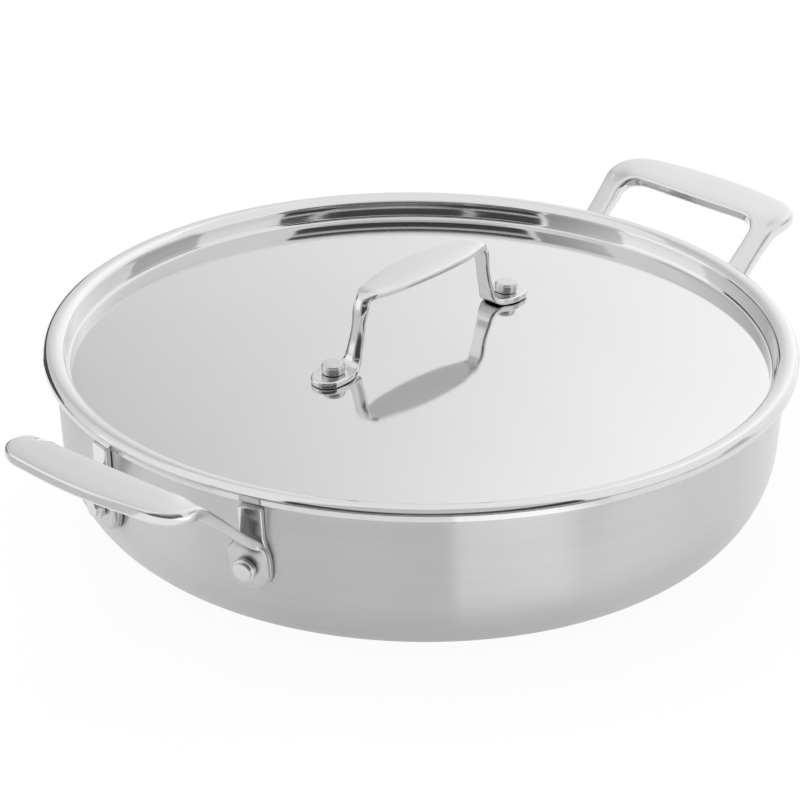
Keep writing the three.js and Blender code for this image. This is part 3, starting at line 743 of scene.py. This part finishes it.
class Wire:
    """Socket of a node tree; sums, differences, products and quotients of wires add Math nodes."""

    def __init__(self, tree, socket=None):
        self.tree = tree
        self.socket = socket

    def add(self, kind, settings=None, sockets=None, out=0):
        """Adds a node, sets its settings and then its sockets, and gives one of its outputs."""
        node = self.tree.nodes.new(kind)
        for name, value in (settings or {}).items():
            setattr(node, name, value)
        for name, value in (sockets or {}).items():
            if isinstance(value, Wire):
                self.tree.links.new(value.socket, node.inputs[name])
            else:
                node.inputs[name].default_value = value
        return Wire(self.tree, node.outputs[out] if node.outputs else None)

    def maths(self, operation, first, second=0.0):
        """Math node of two values."""
        return self.add("ShaderNodeMath", {"operation": operation}, {0: first, 1: second})

    def __add__(self, other):
        return self.maths("ADD", self, other)

    def __radd__(self, other):
        return self.maths("ADD", other, self)

    def __sub__(self, other):
        return self.maths("SUBTRACT", self, other)

    def __rsub__(self, other):
        return self.maths("SUBTRACT", other, self)

    def __mul__(self, other):
        return self.maths("MULTIPLY", self, other)

    def __rmul__(self, other):
        return self.maths("MULTIPLY", other, self)

    def __truediv__(self, other):
        return self.maths("DIVIDE", self, other)

    def __rtruediv__(self, other):
        return self.maths("DIVIDE", other, self)

    def root(self):
        """Square root."""
        return self.maths("SQRT", self)

    def parts(self):
        """X, Y and Z of a vector."""
        return [self.add("ShaderNodeSeparateXYZ", None, {0: self}, axis) for axis in "XYZ"]

    def place(self, x, y, z):
        """Vector of three values."""
        return self.add("ShaderNodeCombineXYZ", None, {"X": x, "Y": y, "Z": z})

    def between(self, low, high):
        """Soft step from 0 at low to 1 at high."""
        return self.add("ShaderNodeMapRange", {"interpolation_type": "SMOOTHSTEP"},
                        {"Value": self, "From Min": low, "From Max": high})

    def noise(self, x, y, z, detail=2.0):
        """Noise at a place given by three values."""
        return self.add("ShaderNodeTexNoise", None,
                        {"Vector": self.place(x, y, z), "Scale": 1.0, "Detail": detail, "Roughness": 0.6})

    def blend(self, share, low, high):
        """Colour between two colours."""
        return self.add("ShaderNodeMix", {"data_type": "RGBA"}, {0: share, 6: low, 7: high}, 2)

    def bump(self, height, depth):
        """Surface direction over a height, with the height's full depth in metres."""
        return self.add("ShaderNodeBump", None, {"Strength": 1.0, "Distance": depth, "Height": height})


def new_tree(name, inputs):
    """Empty geometry tree with named inputs, its start wire, and the inputs' wires and identifiers."""
    tree = bpy.data.node_groups.new(name, "GeometryNodeTree")
    keys = {}
    for label, kind in inputs.items():
        made = tree.interface.new_socket(name=label, in_out="INPUT", socket_type="NodeSocket" + kind)
        keys[label] = made.identifier
    tree.interface.new_socket(name="Mesh", in_out="OUTPUT", socket_type="NodeSocketGeometry")
    start = Wire(tree)
    given = {label: start.add("NodeGroupInput", None, None, label) for label in inputs}
    return tree, start, given, keys


def finish_tree(start, geometry, material):
    """Ends a tree: real instances, smooth faces, material."""
    real = start.add("GeometryNodeRealizeInstances", None, {0: geometry})
    smooth = start.add("GeometryNodeSetShadeSmooth", None, {0: real})
    painted = start.add("GeometryNodeSetMaterial", None, {"Geometry": smooth, "Material": material})
    start.add("NodeGroupOutput", None, {0: painted})


def turned_tree():
    """Tree that turns a profile line about Z. The line's points hold radius as X and height as Z."""
    tree, start, given, keys = new_tree("Turned profile", {
        "Profile": "Geometry", "Steps": "Int", "Material": "Material"})
    profile, steps = given["Profile"], given["Steps"]
    count = start.add("GeometryNodeAttributeDomainSize", None, {"Geometry": profile}, "Point Count")
    grid = start.add("GeometryNodeMeshGrid", None, {"Vertices X": steps + 1.0, "Vertices Y": count}, "Mesh")
    index = start.add("GeometryNodeInputIndex")
    point = start.add("GeometryNodeSampleIndex", {"data_type": "FLOAT_VECTOR"}, {
        "Geometry": profile, "Value": start.add("GeometryNodeInputPosition"),
        "Index": start.maths("MODULO", index, count)})
    radius, _across, height = point.parts()
    angle = start.maths("FLOOR", index / count) / steps * math.tau
    turned = start.place(radius * start.maths("COSINE", angle), radius * start.maths("SINE", angle), height)
    marked = start.add("GeometryNodeStoreNamedAttribute", {"data_type": "FLOAT"}, {
        "Geometry": grid, "Name": RADIUS_NAME, "Value": radius})
    moved = start.add("GeometryNodeSetPosition", None, {"Geometry": marked, "Position": turned})
    merged = start.add("GeometryNodeMergeByDistance", None, {"Geometry": moved, "Distance": MERGE_REACH})
    finish_tree(start, merged, given["Material"])
    return tree, keys


def rivet_tree():
    """Tree that sets one turned rivet on every point, along the point's axis attribute."""
    turned, _keys = turned_tree()
    tree, start, given, keys = new_tree("Rivets on points", {
        "Places": "Geometry", "Rivet line": "Object", "Steps": "Int", "Material": "Material"})
    line = start.add("GeometryNodeObjectInfo", None, {"Object": given["Rivet line"]}, "Geometry")
    rivet = start.add("GeometryNodeGroup", {"node_tree": turned}, {
        "Profile": line, "Steps": given["Steps"], "Material": given["Material"]})
    axis = start.add("GeometryNodeInputNamedAttribute", {"data_type": "FLOAT_VECTOR"},
                     {"Name": AXIS_NAME}, "Attribute")
    aim = start.add("FunctionNodeAlignRotationToVector", {"axis": "Z"}, {"Vector": axis}, "Rotation")
    spread = start.add("GeometryNodeInstanceOnPoints", None, {
        "Points": given["Places"], "Instance": rivet, "Rotation": aim})
    finish_tree(start, spread, given["Material"])
    return tree, keys


# Meshes

def line_mesh(name, profile):
    """Mesh line of a profile's radius and height pairs."""
    mesh = bpy.data.meshes.new(name)
    points = [(radius, 0.0, z) for radius, z in profile]
    mesh.from_pydata(points, [(k, k + 1) for k in range(len(points) - 1)], [])
    return mesh


def grown(name, mesh, tree, values):
    """Object whose mesh is what a node tree makes of the given mesh."""
    piece = bpy.data.objects.new(name, mesh)
    bpy.context.scene.collection.objects.link(piece)
    modifier = piece.modifiers.new(tree.name, "NODES")
    modifier.node_group = tree
    for identifier, value in values.items():
        modifier[identifier] = value
    graph = bpy.context.evaluated_depsgraph_get()
    made = bpy.data.meshes.new_from_object(piece.evaluated_get(graph))
    piece.modifiers.remove(modifier)
    piece.data = made
    made.name = name
    bpy.data.meshes.remove(mesh)
    turn_outwards(made)
    return piece


def turn_outwards(mesh):
    """Makes every closed shell of a mesh face outwards."""
    shell = bmesh.new()
    shell.from_mesh(mesh)
    bmesh.ops.recalc_face_normals(shell, faces=shell.faces)
    if shell.calc_volume(signed=True) < 0.0:
        bmesh.ops.reverse_faces(shell, faces=shell.faces)
    if not shell.faces or any(not edge.is_manifold for edge in shell.edges):
        raise RuntimeError(f"{mesh.name} isn't closed")
    shell.to_mesh(mesh)
    shell.free()
    mesh.set_sharp_from_angle(angle=SHARP_ANGLE)


def strap_object(name, chains, pan_radius, material, turn=0.0):
    """Object of closed straps, turned about Z."""
    shell = bmesh.new()
    for chain in chains:
        skin(shell, strap_rings(chain, pan_radius))
    bmesh.ops.rotate(shell, verts=shell.verts, cent=(0.0, 0.0, 0.0), matrix=Matrix.Rotation(turn, 3, "Z"))
    mesh = bpy.data.meshes.new(name)
    shell.to_mesh(mesh)
    shell.free()
    mesh.materials.append(material)
    mesh.polygons.foreach_set("use_smooth", [True] * len(mesh.polygons))
    turn_outwards(mesh)
    piece = bpy.data.objects.new(name, mesh)
    bpy.context.scene.collection.objects.link(piece)
    return piece


def settle(piece, body, slot, *nodes):
    """Sets a piece on its body, in place of its CAD nodes."""
    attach(piece, body)
    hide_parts(*nodes)


# Materials: the factors on x, y and z in the noises are cycles per metre

def new_material(name):
    """Empty material with its start wire."""
    material = bpy.data.materials.new(name)
    material.use_nodes = True
    material.node_tree.nodes.clear()
    return material, Wire(material.node_tree)


def object_place(start):
    """X, Y and Z wires of the Object coordinates."""
    return start.add("ShaderNodeTexCoord", None, None, "Object").parts()


def steel_output(start, sockets):
    """Metal shader with the given sockets, linked to the output."""
    shader = start.add("ShaderNodeBsdfPrincipled", None, {"Metallic": 1.0, **sockets})
    start.add("ShaderNodeOutputMaterial", None, {"Surface": shader})


def shade(colour, share):
    """Colour times a share, with full opacity."""
    return (*(part * share for part in colour), 1.0)


def satin_steel(finishes, pan):
    """Brushed sheet: fine lines run round the pan, and the lip is polished."""
    material, start = new_material("satin_steel")
    x, y, z = object_place(start)
    along = (x * x + y * y).root() + z
    line = start.noise(x * 14.0, y * 14.0, along * 2300.0, 3.0)
    band = start.noise(x * 9.0, y * 9.0, along * 330.0, 2.0)
    cloud = start.noise(x * 20.0, y * 20.0, z * 20.0, 2.0)
    under_lip = pan.sizes.height - pan.sizes.sheet - pan.sizes.lip_bead
    lip = z.between(under_lip - 0.0016, under_lip - 0.0006)
    brushed = 1.0 - lip
    mark = line * 0.65 + band * 0.35
    colour = start.blend(mark, shade(finishes.satin_tone, 0.9), shade(finishes.satin_tone, 1.1))
    colour = start.blend(lip, colour, shade(finishes.satin_tone, 1.0))
    satin = finishes.satin_rough - 0.05 + line * 0.06 + cloud * 0.05
    polished = finishes.mirror_rough + 0.06 + cloud * 0.05
    steel_output(start, {
        "Base Color": colour,
        "Roughness": satin * brushed + polished * lip,
        "Anisotropic": 1.0,
        "Anisotropic Rotation": 0.25,
        "Normal": start.bump(mark * brushed, 0.000006),
    })
    return material


def mirror_steel(finishes):
    """Polished lid: near mirror, with faint circular polish lines, hair scratches and a soft haze."""
    material, start = new_material("mirror_steel")
    x, y, z = object_place(start)
    radius = (x * x + y * y).root()
    line = start.noise(x * 20.0, y * 20.0, radius * 1500.0, 2.0)
    haze = start.noise(x * 16.0, y * 16.0, z * 16.0, 3.0)
    hair = start.noise(x * 900.0 + y * 400.0, y * 14.0 - x * 30.0, z * 14.0, 1.0).between(0.68, 0.76)
    colour = start.blend(haze, shade(finishes.mirror_tone, 0.97), shade(finishes.mirror_tone, 1.02))
    steel_output(start, {
        "Base Color": colour,
        "Roughness": finishes.mirror_rough - 0.02 + haze * 0.03 + line * 0.015 + hair * 0.02,
        "Normal": start.bump(line * 0.7 + hair * 0.3, 0.0000006),
    })
    return material


def cast_steel(finishes, pad_top):
    """Polished casting with faint waves and short fine scratches; pads below a height are satin, with their
    colour painted darker as shade under the handle.
    """
    material, start = new_material("polished_steel")
    x, y, z = object_place(start)
    wave = start.noise(x * 180.0, y * 180.0, z * 180.0, 2.0)
    haze = start.noise(x * 45.0, y * 45.0, z * 45.0, 3.0)
    along = start.noise(x * 1900.0, y * 60.0, z * 1900.0, 2.0)
    polished_unshaded = z.between(pad_top - 0.002, pad_top + 0.002)
    polished = start.blend(haze, shade(finishes.cast_tone, 0.97), shade(finishes.cast_tone, 1.03))
    # The pads' satin colour is darker than the pan's own satin: painted shade, as the pads sit in the
    # handle's shade.
    satin = start.blend(haze, shade(finishes.satin_tone, 0.86), shade(finishes.satin_tone, 0.94))
    rough = finishes.cast_rough - 0.04 + haze * 0.06 + along * 0.04
    steel_output(start, {
        "Base Color": start.blend(polished_unshaded, satin, polished),
        "Roughness": rough + (1.0 - polished_unshaded) * 0.2,
        "Normal": start.bump(wave * 0.8 + along * 0.2, 0.000004),
    })
    return material


def rivet_steel(finishes):
    """Turned rivets: fine rings round each rivet's own axis."""
    material, start = new_material("rivet_steel")
    x, y, z = object_place(start)
    radius = start.add("ShaderNodeAttribute", {"attribute_name": RADIUS_NAME}, None, "Fac")
    ring = start.noise(radius * 4200.0, x * 90.0 + y * 70.0, z * 90.0, 2.0)
    haze = start.noise(x * 260.0, y * 260.0, z * 260.0, 2.0)
    colour = start.blend(ring, shade(finishes.rivet_tone, 0.92), shade(finishes.rivet_tone, 1.06))
    steel_output(start, {
        "Base Color": colour,
        "Roughness": finishes.rivet_rough - 0.04 + ring * 0.05 + haze * 0.04,
        "Normal": start.bump(ring, 0.000008),
    })
    return material


# Rivets

def rivet_profile(rivets, pad_thick, sheet, tail_gap, straight_part, crown, gap):
    """Radius and height pairs of a rivet: tail behind the sheet, shank, head over the pad."""
    # Roundings of tail, head and crown, and the groove under the head, in metres
    tail_round, head_round, crown_round, groove = 0.0005, 0.0004, 0.0003, 0.0003
    seat = gap + pad_thick + gap
    top = seat + rivets.head_height
    shoulder = seat + straight_part
    back = -sheet - tail_gap
    end = back - rivets.tail_height
    tail, head, shank = rivets.tail_radius, rivets.head_radius, rivets.shank_radius
    line = [(0.0, end), (tail - 0.0011, end)]
    line.extend(arc((tail - tail_round, end + tail_round), tail_round, -80.0, 0.0, 5))
    line.extend([(tail, back), (shank, back), (shank, seat)])
    foot = head - groove
    line.extend([(foot - 0.0002, seat), (foot, seat + 0.0002), (foot, seat + 0.0006)])
    line.extend([(head - 0.0001, seat + 0.0007), (head, seat + 0.0008)])
    line.extend(arc((head - head_round, shoulder - head_round), head_round, 0.0, 80.0, 6))
    line.extend([(crown + 0.0002, shoulder + 0.00008), (crown, shoulder + 0.0003)])
    line.extend(arc((crown - crown_round, top - crown_round), crown_round, 0.0, 85.0, 6))
    line.extend([(crown * 0.5, top), (0.0, top)])
    return line


def set_rivets(name, body, places, profile, settings, material, nodes):
    """Rivets of one body on their places, each a point and an axis."""
    tree, keys = rivet_tree()
    line = bpy.data.objects.new(name + "_line", line_mesh(name + "_line", profile))
    bpy.context.scene.collection.objects.link(line)
    mesh = bpy.data.meshes.new(name)
    mesh.from_pydata([point for point, _axis in places], [], [])
    axes = mesh.attributes.new(AXIS_NAME, "FLOAT_VECTOR", "POINT")
    axes.data.foreach_set("vector", np.array([axis for _point, axis in places], dtype=np.float32).ravel())
    piece = grown(name, mesh, tree, {keys["Rivet line"]: line, keys["Steps"]: settings.rivets.round_steps,
                                     keys["Material"]: material})
    bpy.data.objects.remove(line)
    settle(piece, body, "rivet_steel", *nodes)


# Operators

def settings_of(context):
    """The serving pan's settings."""
    return context.scene.serving_pan


class SERVINGPAN_OT_pan_body(bpy.types.Operator):
    """Turn the pan body from one sheet"""
    bl_idname = "serving_pan.pan_body"
    bl_label = "Pan body"

    def execute(self, context):
        settings = settings_of(context)
        shape = PanShape(settings.pan)
        tree, keys = turned_tree()
        piece = grown("pan_body_sheet", line_mesh("pan_body_line", shape.profile()), tree,
                      {keys["Steps"]: settings.pan.round_steps,
                       keys["Material"]: satin_steel(settings.finishes, shape)})
        settle(piece, "pan", "satin_steel", "pan_body")
        return {"FINISHED"}


class SERVINGPAN_OT_side_handles(bpy.types.Operator):
    """Loft the two cast side handles"""
    bl_idname = "serving_pan.side_handles"
    bl_label = "Side handles"
    # Height above the rivets up to which the pads are satin and painted darker as shade, in metres
    satin_and_shade_rise = 0.0105

    def execute(self, context):
        settings = settings_of(context)
        shape = SideHandleShape(settings.side_handles, settings.rivets, PanShape(settings.pan))
        material = cast_steel(settings.finishes, shape.rivet_z + self.satin_and_shade_rise)
        plate = shape.plate_stations()
        chains = [shape.strap_stations(), plate, [mirrored(station, 1) for station in plate]]
        for side, turn in (("right", 0.0), ("left", math.pi)):
            node = f"side_handle_{side}"
            piece = strap_object(node + "_cast", chains, settings.pan.lip_radius, material, turn)
            settle(piece, "pan", "polished_steel", node)
        return {"FINISHED"}


class SERVINGPAN_OT_rivets(bpy.types.Operator):
    """Set the four pan rivets and the two lid rivets"""
    bl_idname = "serving_pan.rivets"
    bl_label = "Rivets"
    # Straight side of a pan rivet's head and inset of the crown on it, in metres
    pan_side = 0.0027
    pan_crown_inset = 0.0011
    # Crown of a lid rivet's head and its inset, in metres
    lid_crown = 0.0009
    lid_crown_inset = 0.00035
    # Allowance for the wall's lean down to the rivets' tails, in metres
    lean_allowance = 0.01

    def execute(self, context):
        settings = settings_of(context)
        rivets, pan, handle = settings.rivets, settings.pan, settings.side_handles
        material = rivet_steel(settings.finishes)
        shape = PanShape(pan)
        offset = handle.bar_half - handle.pad_inset
        places = []
        for turn in (0.0, math.pi):
            spin = Matrix.Rotation(turn, 3, "Z")
            for side in (1.0, -1.0):
                point, normal = shape.wall_point(pan.height - rivets.drop, side * offset, 0.0)
                places.append((spin @ point, spin @ normal))
        sag = rivets.tail_radius ** 2 / (2.0 * (shape.wall_top_radius - pan.sheet - self.lean_allowance))
        gap = handle.seat_gap
        profile = rivet_profile(rivets, handle.plate_thick + handle.pad_thick, pan.sheet, gap + sag,
                                self.pan_side, rivets.head_radius - self.pan_crown_inset, gap)
        nodes = [f"pan_rivet_{side}_{end}" for side in ("right", "left") for end in ("back", "front")]
        set_rivets("pan_rivets_turned", "pan", places, profile, settings, material, nodes)
        lid = LidShape(settings.lid, pan)
        foot = settings.lid_handle.foot_offset
        places = []
        for side in (1.0, -1.0):
            normal = Vector((-side * lid.dome_slope(foot), 0.0, 1.0)).normalized()
            places.append((Vector((side * foot, 0.0, lid.dome_z(foot))), normal))
        profile = rivet_profile(rivets, settings.lid_handle.foot_thick, settings.lid.sheet, gap,
                                rivets.head_height - self.lid_crown,
                                rivets.head_radius - self.lid_crown_inset, gap)
        set_rivets("lid_rivets_turned", "lid", places, profile, settings, material,
                   ["lid_rivet_right", "lid_rivet_left"])
        return {"FINISHED"}


class SERVINGPAN_OT_lid(bpy.types.Operator):
    """Turn the lid from one sheet"""
    bl_idname = "serving_pan.lid"
    bl_label = "Lid"

    def execute(self, context):
        settings = settings_of(context)
        shape = LidShape(settings.lid, settings.pan)
        tree, keys = turned_tree()
        piece = grown("lid_sheet", line_mesh("lid_line", shape.profile()), tree,
                      {keys["Steps"]: settings.pan.round_steps,
                       keys["Material"]: mirror_steel(settings.finishes)})
        settle(piece, "lid", "mirror_steel", "lid")
        return {"FINISHED"}


class SERVINGPAN_OT_lid_handle(bpy.types.Operator):
    """Loft the strap handle on the lid"""
    bl_idname = "serving_pan.lid_handle"
    bl_label = "Lid handle"

    def execute(self, context):
        settings = settings_of(context)
        shape = LidHandleShape(settings.lid_handle, LidShape(settings.lid, settings.pan))
        piece = strap_object("lid_handle_strap", [shape.stations()], settings.pan.lip_radius,
                             cast_steel(settings.finishes, 0.0))
        settle(piece, "lid", "polished_steel", "lid_handle")
        return {"FINISHED"}


def screen(name, reach, turns, rises, levels):
    """Curved studio screen at a distance, between two turns from the camera and two rises."""
    height = settings_of(bpy.context).stage.view_height
    angles = np.radians(np.linspace(*rises, 9))
    lines = [(reach * math.cos(rise), height + reach * math.sin(rise)) for rise in angles]
    reflected(name, turns, lines, levels)


def floor_light(name, turns, reaches, levels):
    """Lit part of the floor between two turns from the camera and two distances."""
    above_floor = 0.0008
    reflected(name, turns, [(reach, above_floor) for reach in reaches], levels)


def reflected(name, turns, lines, levels):
    """Glowing sheet seen only in reflections, turned about Z from lines of radius and height."""
    view_turn = settings_of(bpy.context).stage.view_turn
    across = 25
    points, glows, faces = [], [], []
    for k, (radius, z) in enumerate(lines):
        for j, turn in enumerate(np.radians(np.linspace(*turns, across))):
            angle = view_turn + turn
            points.append((radius * math.sin(angle), -radius * math.cos(angle), z))
            glows.append(levels[0] + (levels[1] - levels[0]) * j / (across - 1))
            if k and j:
                corner = k * across + j
                faces.append((corner - across - 1, corner - across, corner, corner - 1))
    mesh = bpy.data.meshes.new(name)
    mesh.from_pydata(points, [], faces)
    glow = mesh.attributes.new("glow", "FLOAT", "POINT")
    glow.data.foreach_set("value", glows)
    material, start = new_material(name)
    level = start.add("ShaderNodeAttribute", {"attribute_name": "glow"}, None, "Fac")
    shader = start.add("ShaderNodeEmission", None, {"Color": level, "Strength": 1.0})
    start.add("ShaderNodeOutputMaterial", None, {"Surface": shader})
    mesh.materials.append(material)
    piece = bpy.data.objects.new(name, mesh)
    bpy.context.scene.collection.objects.link(piece)
    piece.visible_camera = False
    piece.visible_diffuse = False
    piece.visible_shadow = False


def shown(start, direct, mirrored_share):
    """Shares for rays that show the background: from the camera or through glass, and off gloss."""
    camera, glossy, clear = [start.add("ShaderNodeLightPath", None, None, name) for name in (
        "Is Camera Ray", "Is Glossy Ray", "Is Transmission Ray")]
    return start.maths("MAXIMUM", camera, clear) * direct + glossy * mirrored_share


class SERVINGPAN_OT_stage(bpy.types.Operator):
    """Make the floor, the light, the reflected screens and the camera"""
    bl_idname = "serving_pan.stage"
    bl_label = "Stage"
    # Turns of the front screens from the camera in degrees, and their distance in metres
    front_turns = (-42.0, 51.0)
    front_reach = 0.9
    # Front screens: name, rises in degrees and glow
    front_screens = (
        ("low_front", (-4.5, 15.0), 0.06),
        ("low_strip", (15.0, 19.0), 0.7),
        ("middle_front", (19.0, 33.0), 0.06),
        ("high_strip", (33.0, 38.0), 0.6),
        ("high_front", (38.0, 46.0), 0.06),
        ("grey_front", (46.0, 80.0), 0.66),
    )
    # Screens further round: name, distance in metres, turns and rises in degrees, glow at both ends
    round_screens = (
        ("grey_left", 3.0, (-70.0, -42.0), (-1.3, 40.0), (0.75, 0.4)),
        ("left_box", 2.9, (-108.0, -70.0), (-1.3, 24.0), (1.2, 1.2)),
        ("dark_edge", 2.9, (-165.0, -116.0), (-1.3, 12.0), (0.08, 0.08)),
        ("grey_right", 3.0, (80.0, 112.0), (4.0, 26.0), (0.6, 0.6)),
        ("left_back", 3.0, (255.0, 203.0), (-1.3, 52.0), (0.95, 0.66)),
        ("middle_back", 3.0, (203.0, 157.0), (-1.3, 52.0), (0.66, 1.28)),
        ("right_back", 3.0, (157.0, 125.0), (-1.3, 52.0), (1.28, 1.0)),
    )
    # Lit parts of the floor: name, turns in degrees, distances in metres, glow at both ends
    floor_lights = (
        ("grey_floor", (-128.0, -48.0), (0.32, 2.9), (0.7, 0.7)),
        ("lit_floor", (7.5, 30.0), (0.19, 2.9), (1.36, 1.5)),
        ("fading_floor", (30.0, 43.0), (0.19, 2.9), (1.5, 0.95)),
    )

    def execute(self, context):
        stage = settings_of(context).stage
        self.floor(stage)
        self.world(context.scene)
        for name, rises, level in self.front_screens:
            screen(name, self.front_reach, self.front_turns, rises, (level, level))
        for row in self.round_screens:
            screen(*row)
        for row in self.floor_lights:
            floor_light(*row)
        self.lamp("top_lamp", place=Vector((0.3, 0.5, 1.8)), size=1.6, power=16.0)
        self.camera(context.scene, stage)
        context.scene.view_settings.view_transform = "Standard"
        return {"FINISHED"}

    def floor(self, stage):
        """Pale floor that keeps the pan's shadow."""
        mesh = bpy.data.meshes.new("floor")
        reach = 14.0
        corners = ((-reach, -reach), (reach, -reach), (reach, reach), (-reach, reach))
        # Just under the base, so that the two faces don't meet
        drop = 0.0001
        mesh.from_pydata([(x, y, -drop) for x, y in corners], [], [(0, 1, 2, 3)])
        material, start = new_material("floor")
        paint = start.add("ShaderNodeBsdfDiffuse", None, {"Color": shade(stage.floor_tone, 1.0)})
        glow = start.add("ShaderNodeEmission", None, {"Color": (1.0, 1.0, 1.0, 1.0), "Strength": 1.0})
        mixed = start.add("ShaderNodeMixShader", None, {0: shown(start, 0.94, 0.4), 1: paint, 2: glow})
        start.add("ShaderNodeOutputMaterial", None, {"Surface": mixed})
        mesh.materials.append(material)
        piece = bpy.data.objects.new("floor", mesh)
        bpy.context.scene.collection.objects.link(piece)

    def world(self, scene):
        """White surroundings, a little lower as light."""
        world = bpy.data.worlds.new("studio")
        world.use_nodes = True
        world.node_tree.nodes.clear()
        start = Wire(world.node_tree)
        level = 0.9 + shown(start, 0.1, 0.1)
        light = start.add("ShaderNodeBackground", None, {"Color": (1.0, 1.0, 1.0, 1.0), "Strength": level})
        start.add("ShaderNodeOutputWorld", None, {"Surface": light})
        scene.world = world

    def lamp(self, name, place, size, power):
        """Soft square lamp aimed at the pan."""
        light = bpy.data.lights.new(name, "AREA")
        light.size = size
        light.energy = power
        piece = bpy.data.objects.new(name, light)
        piece.location = place
        piece.rotation_mode = "QUATERNION"
        piece.rotation_quaternion = place.to_track_quat("Z", "Y")
        bpy.context.scene.collection.objects.link(piece)
        piece.visible_glossy = False

    def camera(self, scene, stage):
        """Camera at the photograph's viewing angle, shifted for a frame of 800 by 800."""
        turn, rise, roll = stage.view_turn, stage.view_rise, stage.view_roll
        back = Vector((math.sin(turn) * math.cos(rise), -math.cos(turn) * math.cos(rise), math.sin(rise)))
        right = Vector((math.cos(turn), math.sin(turn), 0.0))
        up = back.cross(right)
        right_tilted = right * math.cos(roll) + up * math.sin(roll)
        up_tilted = up * math.cos(roll) - right * math.sin(roll)
        spin = Matrix((right_tilted, up_tilted, back)).transposed()
        data = bpy.data.cameras.new("camera")
        data.sensor_width = 36.0
        data.lens = stage.lens
        middle = FRAME_SIDE / 2.0
        data.shift_x = (middle - FRAME_AXIS[0]) / FRAME_SIDE
        data.shift_y = (FRAME_AXIS[1] - middle) / FRAME_SIDE
        data.clip_start = 0.05
        data.clip_end = 100.0
        piece = bpy.data.objects.new("camera", data)
        piece.rotation_mode = "QUATERNION"
        piece.rotation_quaternion = spin.to_quaternion()
        piece.location = Vector((0.0, 0.0, stage.view_height)) + back * stage.view_distance
        scene.collection.objects.link(piece)
        scene.camera = piece


class SERVINGPAN_PT_panel(bpy.types.Panel):
    """Serving pan settings and steps"""
    bl_idname = "SERVINGPAN_PT_panel"
    bl_label = "Serving pan"
    bl_space_type = "VIEW_3D"
    bl_region_type = "UI"
    bl_category = "Serving pan"

    def draw(self, context):
        settings = settings_of(context)
        for operator in OPERATORS:
            self.layout.operator(operator.bl_idname)
        for part in settings.bl_rna.properties.keys():
            group = getattr(settings, part)
            if not isinstance(group, bpy.types.PropertyGroup):
                continue
            box = self.layout.box()
            box.label(text=part.replace("_", " ").capitalize())
            for name in group.__annotations__:
                box.prop(group, name)


GROUPS = (PanSizes, LidSizes, SideHandleSizes, LidHandleSizes, RivetSizes, SteelFinishes, StageSettings,
          ServingPanSettings)
OPERATORS = (SERVINGPAN_OT_stage, SERVINGPAN_OT_pan_body, SERVINGPAN_OT_side_handles, SERVINGPAN_OT_lid,
             SERVINGPAN_OT_lid_handle, SERVINGPAN_OT_rivets)


def register():
    """Registers the classes and the scene's settings."""
    for cls in (*GROUPS, *OPERATORS, SERVINGPAN_PT_panel):
        bpy.utils.register_class(cls)
    bpy.types.Scene.serving_pan = PointerProperty(type=ServingPanSettings)


def unregister():
    """Takes the settings and the classes out again."""
    del bpy.types.Scene.serving_pan
    for cls in reversed((*GROUPS, *OPERATORS, SERVINGPAN_PT_panel)):
        bpy.utils.unregister_class(cls)


def main():
    """Builds the serving pan and its stage."""
    register()
    bpy.ops.serving_pan.stage()
    bpy.ops.serving_pan.pan_body()
    bpy.ops.serving_pan.side_handles()
    bpy.ops.serving_pan.lid()
    bpy.ops.serving_pan.lid_handle()
    bpy.ops.serving_pan.rivets()


if __name__ == "__main__":
    main()
